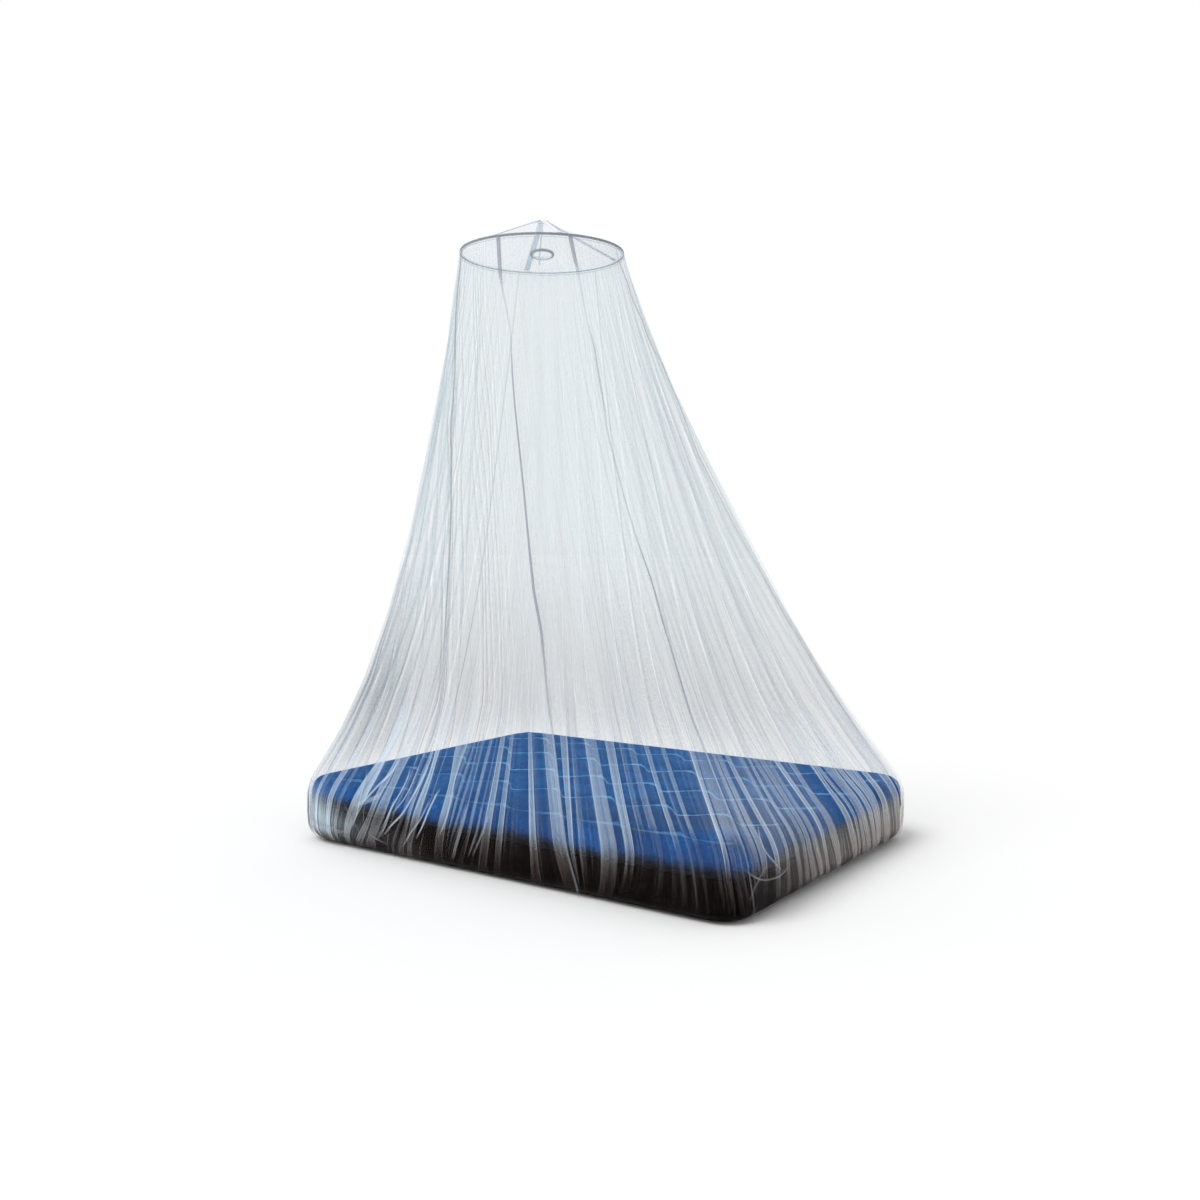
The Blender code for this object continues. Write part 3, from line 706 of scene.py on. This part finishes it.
# Each fold: (three places on it, as bearing where it hangs and height), width, gathering, lit.
CROSSING_FOLDS = (
    ((-138, 0.3), (-160, 0.15), (-142, 0.11), 0.009, 0.6, 1),
    ((-126, 0.33), (-122, 0.22), (-119, 0.08), 0.03, 0.55, 1),
    ((-112, 0.39), (-116, 0.29), (-123, 0.15), 0.016, 0.6, 1),
    ((-107, 0.36), (-106, 0.25), (-109, 0.11), 0.012, 0.55, 1),
    ((-102, 0.36), (-103, 0.26), (-106, 0.17), 0.009, 0.55, 1),
    ((-99, 0.39), (-100, 0.24), (-108, 0.08), 0.012, 0.6, 0.9),
    ((-107, 0.24), (-107, 0.17), (-109, 0.07), 0.022, 0.5, 0.9),
    ((-88, 0.3), (-90, 0.21), (-93, 0.1), 0.012, 0.55, 0.9),
    ((-80, 0.33), (-80, 0.22), (-83, 0.12), 0.01, 0.5, 0.9),
    ((-68, 0.27), (-68, 0.17), (-69, 0.07), 0.009, 0.4, 0.5),
    ((-65, 0.29), (-66, 0.21), (-68, 0.07), 0.009, 0.4, 0.5),
    ((-91, 0.26), (-94, 0.16), (-99, 0.06), 0.012, 0.5, 0.8),
    ((-119, 0.21), (-115, 0.11), (-103, 0.05), 0.012, 0.4, 0.7),
    ((-129, 0.19), (-120, 0.12), (-113, 0.05), 0.016, 0.4, 0.7),
    ((-148, 0.11), (-138, 0.08), (-120, 0.06), 0.022, 0.55, 0.6),
    ((-150, 0.19), (-153, 0.11), (-159, 0.03), 0.018, 0.5, 0.6),
    ((-113, 0.24), (-118, 0.21), (-124, 0.18), 0.022, 0.6, 0.9),
    ((-73, 0.27), (-73, 0.16), (-72, 0.05), 0.016, 0.4, 0.7),
    ((-23, 0.08), (-22, 0.13), (-20, 0.18), 0.008, 0.35, 0.2),
    ((-23, 0.19), (-20, 0.13), (-15, 0.15), 0.008, 0.4, 0.3),
    ((-19, 0.3), (-20, 0.22), (-17, 0.13), 0.008, 0.45, 0.8),
)
along_fold = np.linspace(0, 1, FOLD_ROWS)[:, None]
# How much each of its three places counts along the smooth curve through them.
through = np.hstack([2 * (along_fold - 0.5) * (along_fold - 1), -4 * along_fold * (along_fold - 1),
                     2 * along_fold * (along_fold - 0.5)])
fading_out = np.clip(along_fold / FOLD_END, 0, 1) * np.clip((1 - along_fold) / FOLD_END, 0, 1)
fold_across, fold_ridge, fold_gathering = np.array(FOLD_SECTION).T
for number, (*places, width, close, shone) in enumerate(CROSSING_FOLDS, 1):
    turned, level = (through @ np.array(places)).T
    level = np.maximum(level, FOLD_LOWEST)
    middle = cloth_point(turned, level, FOLD_LIFT_SHARE * read_rows(PLEAT_LEVELS, level, 1) + FOLD_CLEAR)
    out = unit((middle - np.array(AXIS)) * [1, 1, 0])
    side = unit(np.cross(out, np.gradient(middle, axis=0))) * width
    section = zip(fold_across[:-1], fold_ridge[:-1])
    lines = [middle + side * across + out * (FOLD_RIDGE * ridge) for across, ridge in section]
    fold = quad_mesh(f"net_fold_{number}", np.stack(lines, 1), closed=False)
    run = np.linalg.norm(np.diff(middle, axis=0, prepend=middle[:1]), axis=1).cumsum()
    shone = shone * np.clip(level / SHADED_BELOW, LEAST_LIT, 1)[:, None]
    gathered = close * fold_gathering[:-1] * fading_out
    lay_cloth(fold, gathered, 0.0, shone, fold_across * width + number * PATTERN_STEP, run)
    fit(fold, net_film, "netting")


# --- Seams of the net ---
# The net is cut in six tapered panels. Each joint is overlocked with grey thread and
# stands out as a narrow ridge from the hoop to the floor.
SEAM_PROUD = 0.0022
SEAM_ROUND = 0.0016
SEAM_LIFT_SHARE = 1.12
SEAM_ENDS = 0.004
# Down each seam: (height, bearing where it hangs, width, thread laid on).
SEAMS = {
    "left": ((2.26, -97.5, 0.014, 0.9), (1.9, -99, 0.012, 0.9), (1.68, -100, 0.011, 1),
        (1.5, -98.4, 0.011, 1), (1.2, -100, 0.01, 1), (0.95, -101, 0.009, 1),
        (0.66, -101.8, 0.007, 0.5), (0, -102, 0.006, 0.5)),
    "front_left": ((2.26, -51.5, 0.016, 1), (2.12, -51.8, 0.015, 1), (2.06, -51.4, 0.007, 0.4),
        (1.9, -49.4, 0.005, 0.3), (1.76, -50.2, 0.006, 0.9), (1.2, -50.6, 0.007, 1),
        (1, -50.6, 0.01, 1), (0.86, -49.6, 0.009, 1), (0.66, -49.8, 0.006, 0.7), (0, -49.9, 0.006, 1)),
    "front_right": ((2.26, -22.2, 0.016, 1), (2.15, -21.1, 0.014, 0.9), (2.09, -20.8, 0.008, 0.2),
        (1.93, -20.2, 0.006, 0.2), (1.84, -19.3, 0.007, 0.6), (1.7, -20.2, 0.007, 0.6),
        (1.56, -21.4, 0.006, 0.4), (1.2, -21.6, 0.006, 0.4), (1.05, -21.4, 0.007, 0.9),
        (0.6, -22.7, 0.007, 0.9), (0.4, -22.6, 0.006, 0.6), (0, -22.6, 0.006, 0.5)),
    "right": ((2.26, 18, 0.006, 0.1), (2.19, 18, 0.008, 0.5), (2.1, 21, 0.009, 0.7),
        (1.98, 26.5, 0.009, 0.7), (1.8, 32.5, 0.009, 0.6), (1.4, 33.5, 0.008, 0.6),
        (0, 32.1, 0.006, 0.6)),
    "back_right": ((2.26, 93.7, 0.006, 0.25), (0, 93.7, 0.006, 0.25)),
    "back_left": ((2.26, 157.1, 0.006, 0.25), (0, 157.1, 0.006, 0.25)),
}

overlock, shader, place = finish("overlock_thread")
wraps = place.stretched(40.0, 40.0, 170.0).noise(1.0, 2.0)
height = place.axes()[2]
grey = height.ramp(0.35, 0.75).blend((0.55, 0.63, 0.72, 1), (0.17, 0.19, 0.235, 1))
feed(
    shader,
    Base_Color=(wraps * 0.5).blend(grey, (0.55, 0.6, 0.68, 1)),
    Roughness=0.8,
    Alpha=height.ramp(0.1, 0.5, 0.25, 0.85) * (0.75 + wraps * 0.3) * place.kept("laid_on"),
    Normal=wraps.bump(0.4, 0.001),
)
seam_rows = np.linspace(SEAM_ENDS, NET_TOP - SEAM_ENDS, 260)
seam_lift = SEAM_LIFT_SHARE * read_rows(PLEAT_LEVELS, seam_rows, 1) + SEAM_PROUD
for name, path in SEAMS.items():
    turned, width, laid_on = [read_rows(path[::-1], seam_rows, part) for part in (1, 2, 3)]
    middle = cloth_point(turned, seam_rows, seam_lift)
    out = unit((middle - np.array(AXIS)) * [1, 1, 0])
    side = np.cross([0, 0, 1], out) * width[:, None] / 2
    proud = out * SEAM_ROUND
    lines = [middle - side, middle - side * 0.6 + proud, middle + side * 0.6 + proud, middle + side]
    seam = quad_mesh("net_seam_" + name, np.stack(lines, 1), closed=False)
    strengths = np.float32(np.repeat(laid_on, len(lines)))
    seam.attributes.new("laid_on", "FLOAT", "POINT").data.foreach_set("value", strengths)
    fit(seam, overlock, "netting")


# --- Hoop ---
# The spreader hoop is a thin rod of pale painted steel, bent round and joined. It
# runs inside the net's upper hem, and shows a little slimmer than the solid.
ROD_RADIUS = 0.004
ROD_SHOWN = 0.003
HOOP_RADIUS = (HOOP_HIGH.x - HOOP_LOW.x) / 2 - ROD_RADIUS
HOOP_MIDDLE = AXIS + Vector((0, 0, HOOP_HEIGHT))


def round_rod(name, material, radius, rod, steps, tilt=Matrix()):
    """A round rod bent to a circle about the hoop's middle."""
    sizes = {"Radius": radius, "Rod": rod, "Steps": steps, "Material": material}
    tree, given = node_group(name, sizes)
    start = given["Radius"]
    circle = "GeometryNodeCurvePrimitiveCircle"
    line = start.node(circle, {}, {"Resolution": given["Steps"], "Radius": start})
    section = start.node(circle, {}, {"Resolution": 16, "Radius": given["Rod"]})
    bent = start.node("GeometryNodeCurveToMesh", {}, {"Curve": line, "Profile Curve": section})
    bent = start.node("GeometryNodeSetShadeSmooth", {}, {"Geometry": bent})
    close_group(tree, bent, given["Material"])
    mesh = grown_mesh(name, bpy.data.meshes.new(name + "_start"), tree, sizes)
    mesh.transform(Matrix.Translation(HOOP_MIDDLE) @ tilt)
    return mesh


paint, shader, place = finish("hoop_paint")
chips = place.noise(120.0, 3.0).ramp(0.56, 0.62)
feed(
    shader,
    Base_Color=(chips * 0.3).blend((0.93, 0.95, 0.98, 1), (0.66, 0.69, 0.73, 1)),
    Roughness=0.36 + chips * 0.2,
    Normal=place.noise(300.0, 2.0).bump(0.1, 0.002),
)
fit(round_rod("hoop_rod", paint, HOOP_RADIUS, ROD_SHOWN, 240), paint, "hoop_rod", "hoop")


# --- Hem over the hoop ---
# The net's upper hem is folded over the rod and closed with one row of grey thread.
# Across the hem: (distance from the hoop's axis, height over the rod's middle).
CASING = ((0.3066, -0.0125), (0.307, -0.01), (0.3071, -0.004), (0.3071, 0.001), (0.3067, 0.0052))
CASING_COLUMNS = 540
CASING_DENSITY = 0.07
CASING_COVER = 0.07
STITCH_DROP = 0.0105
STITCH_PROUD = 0.0004


def band(name, section):
    """A rippled band round the hoop."""
    rows = [about_axis(casing_turn, radius + casing_ripple, HOOP_HEIGHT + rise) for radius, rise in section]
    return quad_mesh(name, np.array(rows))


def stitches(name, slot, paths, closed=False, turned=Matrix()):
    """A piece of separate stitches of thread along open or closed lines of points."""
    points, edges = [], []
    for path in paths:
        first = len(points)
        points += [tuple(point) for point in path]
        edges += [(first + k, first + k + 1) for k in range(len(path) - 1)]
        if closed:
            edges.append((len(points) - 1, first))
    lines = bpy.data.meshes.new(name + "_lines")
    lines.from_pydata(points, edges, [])
    sizes = {"Pitch": 0.0042, "Length": 0.003, "Thread": 0.0006, "Material": thread}
    tree, given = node_group(name, sizes)
    start = given["Geometry"]
    line = start.node("GeometryNodeMeshToCurve", {}, {"Mesh": start})
    spaced = {"Curve": line, "Length": given["Pitch"]}
    spots = line.node("GeometryNodeCurveToPoints", {"mode": "LENGTH"}, spaced)
    along = Shade(tree, spots.output.node.outputs["Rotation"])
    bead = {"Vertices": 5, "Side Segments": 1, "Radius": given["Thread"], "Depth": given["Length"]}
    bead = start.node("GeometryNodeMeshCylinder", {"fill_type": "TRIANGLE_FAN"}, bead)
    set_out = {"Points": spots, "Instance": bead, "Rotation": along}
    close_group(tree, start.node("GeometryNodeInstanceOnPoints", {}, set_out), given["Material"])
    sewn = grown_mesh(name, lines, tree, sizes)
    sewn.transform(turned)
    return fit(sewn, thread, slot)


casing_turn = np.linspace(0, 2 * math.pi, CASING_COLUMNS, endpoint=False)
casing_ripple = 0.0005 * np.sin(casing_turn * 97) + 0.0003 * np.sin(casing_turn * 61 + 1.0)
casing = band("hoop_hem", CASING)
casing_across = np.append(casing_turn, 2 * math.pi) * HOOP_RADIUS
casing_down = HOOP_HEIGHT + np.array(CASING)[:, 1]
lay_cloth(casing, CASING_DENSITY, CASING_COVER, 1.0, casing_across, casing_down)
casing = fit(casing, net_film, "netting")

thread, shader, place = finish("thread")
twist = place.noise(1500.0, 1.0)
grey = twist.blend((0.3, 0.33, 0.39, 1), (0.48, 0.52, 0.58, 1))
feed(shader, Base_Color=grey, Roughness=0.6 + twist * 0.2)
hem_turn = np.linspace(0, 2 * math.pi, 720, endpoint=False)
hem_line = about_axis(hem_turn, CASING[1][0] + STITCH_PROUD, HOOP_HEIGHT - STITCH_DROP)
hem_thread = stitches("hoop_hem_thread", "netting", [hem_line], closed=True)


# --- Binding round the hoop ---
# A narrow grey binding tape is sewn round the outside of the hem.
# Its section is given as the hem's is.
BINDING = ((0.3074, -0.0036), (0.3078, -0.0028), (0.308, 0.0006), (0.3078, 0.0036), (0.3074, 0.0044))

# The binding's dark grey is partly its own colour and partly painted shade along the hoop's outside.
binding_tape_and_shade, shader, place = finish("binding_tape_and_shade")
grain = place.noise(600.0, 2.0)
feed(
    shader,
    Base_Color=grain.blend((0.17, 0.175, 0.195, 1), (0.31, 0.32, 0.35, 1)),
    Roughness=0.75 + grain * 0.2,
    Normal=grain.bump(0.3, 0.001),
)
binding = fit(band("hoop_binding", BINDING), binding_tape_and_shade, "webbing")


# --- Crown ---
# A tent of the same netting over the hoop, held up at the apex. It sags between the
# four tapes, and its hem is drawn in small puckers onto the hoop.
RISE = 0.12
FLAT_SHARE = 0.93
CROWN_SAG = 0.012
CROWN_EDGE = 0.3078
CROWN_HOLE = 0.006
CROWN_LIFT = 0.0012
CROWN_ROWS = 44
CROWN_COLUMNS = 720
CROWN_PUCKER = 0.0022
PUCKERS_FROM = 0.1
CROWN_DENSITY = 0.13
CROWN_COVER = 0.15
TAPE_BEARINGS = (59.0, 139.5, 239.0, 319.5)


def crown_place(bearing, radius, lift=0.0):
    """A point on the crown at a bearing and a distance from the hoop's axis."""
    share = np.clip((HOOP_RADIUS - radius) / (HOOP_RADIUS - CROWN_HOLE), 0, 1)
    turns = np.array([*TAPE_BEARINGS, TAPE_BEARINGS[0] + 360])
    past = (bearing - turns[0]) % 360 + turns[0]
    section = np.clip(np.searchsorted(turns, past, side="right") - 1, 0, 3)
    between = (past - turns[section]) / (turns[section + 1] - turns[section])
    sag = CROWN_SAG * np.sin(math.pi * share) * np.sin(math.pi * between) * (share < FLAT_SHARE)
    level = HOOP_HEIGHT + ROD_RADIUS + CROWN_LIFT + RISE * np.minimum(share, FLAT_SHARE) - sag + lift
    return about_axis(np.radians(bearing), radius, level)


crown_turn = np.linspace(0, 360, CROWN_COLUMNS, endpoint=False)[None, :]
out_share = np.linspace(0, 1, CROWN_ROWS)[:, None] ** 0.8
crown_radius = CROWN_HOLE + (CROWN_EDGE - CROWN_HOLE) * out_share[::-1] + 0 * crown_turn
near_hem = np.clip((crown_radius - PUCKERS_FROM) / (CROWN_EDGE - PUCKERS_FROM), 0, 1) ** 2
turn = np.radians(crown_turn)
wandering = np.sin(turn * 67 + 1.4 * np.sin(turn * 5))
wandering += 0.6 * np.sin(turn * 41 + 2.0 + 1.1 * np.sin(turn * 3))
puffed = near_hem * (0.35 + 0.65 * np.sin(np.pi * near_hem ** 0.5))
crown_lift = CROWN_PUCKER * 0.5 * (1.6 + wandering) * puffed
crown = quad_mesh("crown_cloth", crown_place(crown_turn, crown_radius, crown_lift))
crown_density = CROWN_DENSITY + 0.05 * near_hem + 0.1 * np.clip(wandering, 0, 2) * near_hem
crown_across = np.append(turn, 2 * math.pi) * HOOP_RADIUS
lay_cloth(crown, crown_density, CROWN_COVER, 1.0, crown_across, crown_radius[:, 0])
crown_film = netting(
    "crown_netting",
    film=((0.4, 0.5, 0.62, 1), (0.56, 0.65, 0.76, 1), (0.64, 0.71, 0.79, 1)),
    thread=((0.76, 0.84, 0.95, 1), (0.8, 0.88, 0.98, 1), (0.92, 0.96, 1.0, 1)),
)
crown = fit(crown, crown_film, "netting", "crown")


# --- Crown tapes ---
# Four runs of pale woven webbing carry the crown from the hoop to the apex. Each is
# sewn down along both edges.
TAPE_WIDTH = 0.022
TAPE_THICKNESS = 0.0015
TAPE_INNER = 0.018
TAPE_OUTER = 0.306
TAPE_ROWS = 90
TAPE_CLEAR = 0.0011
CROWN_THICKNESS = 0.0013
# Across a tape: (share of its width, share of its thickness), with edges that are softly rounded.
TAPE_SECTION = ((-0.5, 0), (-0.46, -0.5), (0.46, -0.5), (0.5, 0), (0.46, 0.5), (0, 0.56), (-0.46, 0.5))


def ribbon(name, middle, side, up, width, thickness):
    """A flat tape along a path: its middle line, its sideways and its upward directions."""
    lines = [middle + side * (across * width) + up * (high * thickness) for across, high in TAPE_SECTION]
    mesh = quad_mesh(name, np.stack(lines, 1), capped=True)
    mesh.set_sharp_from_angle(angle=math.radians(50))
    return mesh


def square_to(middle, side):
    """The upward direction of a tape at each of its points, square to its path and its side."""
    return unit(np.cross(np.gradient(middle, axis=0), side))


webbing, shader, place = finish("webbing")
grain = place.noise(700.0, 2.0)
faded = place.noise(30.0, 3.0).ramp(0.35, 0.7)
feed(
    shader,
    Base_Color=(grain * 0.6 + faded * 0.4).blend((0.8, 0.84, 0.9, 1), (0.9, 0.93, 0.97, 1)),
    Roughness=0.75 + grain * 0.2,
    Normal=grain.bump(0.4, 0.001),
)
spokes = np.linspace(TAPE_OUTER, TAPE_INNER, TAPE_ROWS)
tape_lift = CROWN_THICKNESS - CROWN_LIFT + TAPE_THICKNESS / 2 + TAPE_CLEAR
for number, bearing in enumerate(TAPE_BEARINGS, 1):
    name = f"crown_tape_{number}"
    middle = crown_place(np.full(TAPE_ROWS, bearing), spokes, tape_lift)
    turn = math.radians(bearing)
    side = np.tile([-math.sin(turn), math.cos(turn), 0.0], (TAPE_ROWS, 1))
    up = -square_to(middle, side)
    edges = [middle + side * (TAPE_WIDTH * share) + up * (TAPE_THICKNESS * 0.55) for share in (-0.38, 0.38)]
    sewn = stitches(name + "_thread", "webbing", edges)
    tape = ribbon(name + "_webbing", middle, side, up, TAPE_WIDTH, TAPE_THICKNESS)
    tape = fit(tape, webbing, "webbing", name)


# --- Apex patch ---
# A square of webbing covers the ends of the tapes. It is sewn round its edge and across,
# and the hanging point above it is held up by the ceiling.
PATCH_SIDE = 0.042
PATCH_CORNER = 0.004
PATCH_STEPS = 8
PATCH_DROP = 0.0066
# Up the patch's edge: (how far in it lies, share of half its thickness).
PATCH_EDGE = ((0.0004, -1.0), (0.0, -0.5), (0.0, 0.5), (0.0004, 0.9), (0.0016, 1.0))
SEWN_IN = 0.004
SEWN_CORNER = 0.0012


def rounded_square(side, corner, level):
    """Points once round a square with rounded corners, turned to lie along the tapes."""
    quarter = np.repeat(range(4), PATCH_STEPS)
    angle = np.radians(90 * quarter + np.tile(np.linspace(0, 90, PATCH_STEPS), 4))
    middle = np.radians(90 * quarter + 45)
    reach = (side / 2 - corner) * math.sqrt(2)
    x, y = reach * np.cos(middle) + corner * np.cos(angle), reach * np.sin(middle) + corner * np.sin(angle)
    return np.column_stack([x, y, np.full(len(x), level)])


patch_low, patch_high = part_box("apex_patch")
half = (patch_high.z - patch_low.z) / 2
patch_middle = (patch_low + patch_high) / 2 - Vector((0, 0, PATCH_DROP))
patch_turn = Matrix.Translation(patch_middle) @ Matrix.Rotation(math.radians(TAPE_BEARINGS[0]), 4, "Z")
patch_rings = [rounded_square(PATCH_SIDE - 2 * inset, PATCH_CORNER - inset, half * share)
               for inset, share in PATCH_EDGE]
patch = quad_mesh("apex_patch_webbing", np.array(patch_rings), capped=True)
patch.transform(patch_turn)
fit(patch, webbing, "webbing", "apex_patch")
sewn_square = rounded_square(PATCH_SIDE - 2 * SEWN_IN, SEWN_CORNER, half)
# The two diagonals join the middles of opposite corners.
crossed = [np.linspace(sewn_square[first], sewn_square[first + 16], 12) for first in (4, 12)]
sewn_lines = [np.vstack([sewn_square, sewn_square[:1]]), *crossed]
stitches("apex_patch_thread", "webbing", sewn_lines, turned=patch_turn)


# --- Centre ring and its ties ---
# A moulded plastic ring hangs under the apex on two narrow ties, whose ends are left
# hanging below it. The net is gathered and tied up through this ring.
RING_RADIUS = 0.0405
RING_ROD = 0.0054
RING_TILT = 10.0
TILT_BEARING = 35.0
PALE_INSIDE = (0.005, 0.0025)
TIE_WIDTH = 0.005
TIE_THICKNESS = 0.0012
TIE_CLEAR = 0.0003
TIE_STEPS = 16
APEX_CLEAR = 0.0002
# A tie bends this far in from its place at the ring's rod, and this far above it.
BEND_IN, BEND_ABOVE = 0.004, 0.02
END_IN = 0.002
# Each tie: (name, bearing of its place in the ring, offset where it leaves the apex, hanging end).
TIES = (
    ("ring_tie_left", TILT_BEARING + 180.0, -0.003, 0.04),
    ("ring_tie_back", TILT_BEARING + 110.0, 0.003, 0.032),
)

plastic, shader, place = finish("ring_plastic")
x, y, z = place.axes()
from_axis = ((x - AXIS.x) * (x - AXIS.x) + (y - AXIS.y) * (y - AXIS.y)).to("SQRT")
# Painted shade: the ring is pale on its inner side and grey further out, where the grey stands in for the
# shade round its edge.
pale = from_axis.ramp(RING_RADIUS - PALE_INSIDE[0], RING_RADIUS - PALE_INSIDE[1], 1.0, 0.0)
feed(
    shader,
    Base_Color=pale.blend((0.27, 0.285, 0.305, 1), (0.92, 0.94, 0.97, 1)),
    Roughness=0.3 + place.noise(90.0, 2.0) * 0.15,
)
right = Vector((math.cos(math.radians(TILT_BEARING)), math.sin(math.radians(TILT_BEARING)), 0.0))
back = Vector((-right.y, right.x, 0.0))
tipped = Matrix.Rotation(math.radians(-RING_TILT), 4, right)
ring = round_rod("centre_ring_moulding", plastic, RING_RADIUS, RING_ROD, 120, tipped)
fit(ring, plastic, "ring", "centre_ring")

tie_cloth, shader, place = finish("tie_tape")
grain = place.noise(900.0, 2.0)
feed(
    shader,
    Base_Color=grain.blend((0.66, 0.71, 0.78, 1), (0.82, 0.86, 0.91, 1)),
    Roughness=0.8,
    Normal=grain.bump(0.3, 0.001),
)
inner = RING_RADIUS - RING_ROD - TIE_CLEAR - TIE_THICKNESS
for name, bearing, start, hanging in TIES:
    out = Vector((math.cos(math.radians(bearing)), math.sin(math.radians(bearing)), 0.0))
    seat = HOOP_HEIGHT + out.dot(back) * math.sin(math.radians(-RING_TILT)) * RING_RADIUS
    # From the apex to just over the ring, past its rod, and down to the hanging end.
    corners = np.array([
        AXIS + right * start + Vector((0, 0, HOOP_HEIGHT + ROD_RADIUS + APEX_CLEAR + RISE * FLAT_SHARE)),
        AXIS + out * (inner - BEND_IN) + Vector((0, 0, seat + BEND_ABOVE)),
        AXIS + out * inner + Vector((0, 0, seat)),
        AXIS + out * (inner - END_IN) + Vector((0, 0, HOOP_HEIGHT - hanging)),
    ])
    place_on = np.linspace(0, 3, 3 * TIE_STEPS)
    middle = np.stack([np.interp(place_on, range(4), corners[:, axis]) for axis in range(3)], -1)
    side = np.tile([-out.y, out.x, 0.0], (len(middle), 1))
    tie = ribbon(name + "_tape", middle, side, square_to(middle, side), TIE_WIDTH, TIE_THICKNESS)
    tie = fit(tie, tie_cloth, "tie_tape", name)


# --- Floor and light ---
# A wide pale floor, an even pale surround, and one wide soft lamp from the upper left.
FLOOR_REACH = 60.0
floor_paint, shader, place = finish("floor_paint")
feed(shader, Base_Color=(0.925, 0.925, 0.925, 1), Roughness=0.9, Specular_IOR_Level=0.0)
floor_mesh = bpy.data.meshes.new("floor")
corners = [(x * FLOOR_REACH, y * FLOOR_REACH, 0.0) for x, y in ((-1, -1), (1, -1), (1, 1), (-1, 1))]
floor_mesh.from_pydata(corners, [], [(0, 1, 2, 3)])
floor_mesh.materials.append(floor_paint)
floor = bpy.data.objects.new("floor", floor_mesh)
put_in_scene(floor)

world = bpy.data.worlds.new("surround")
world.use_nodes = True
bpy.context.scene.world = world
surround = world.node_tree.nodes["Background"]
surround.inputs["Color"].default_value = (1.0, 1.0, 1.0, 1)
seen = Shade(world.node_tree).node("ShaderNodeLightPath", {}, {})
world.node_tree.links.new((0.66 + seen * 0.34).output, surround.inputs["Strength"])

sun = bpy.data.lights.new("soft_sun", "SUN")
sun.energy = 1.75
sun.angle = math.radians(35)
lamp = bpy.data.objects.new("soft_sun", sun)
lamp.rotation_euler = Vector((-0.3, -0.8, 1.1)).to_track_quat("Z", "Y").to_euler()
put_in_scene(lamp)

scene = bpy.context.scene
scene.view_settings.view_transform = "Standard"
scene.cycles.transparent_max_bounces = 48
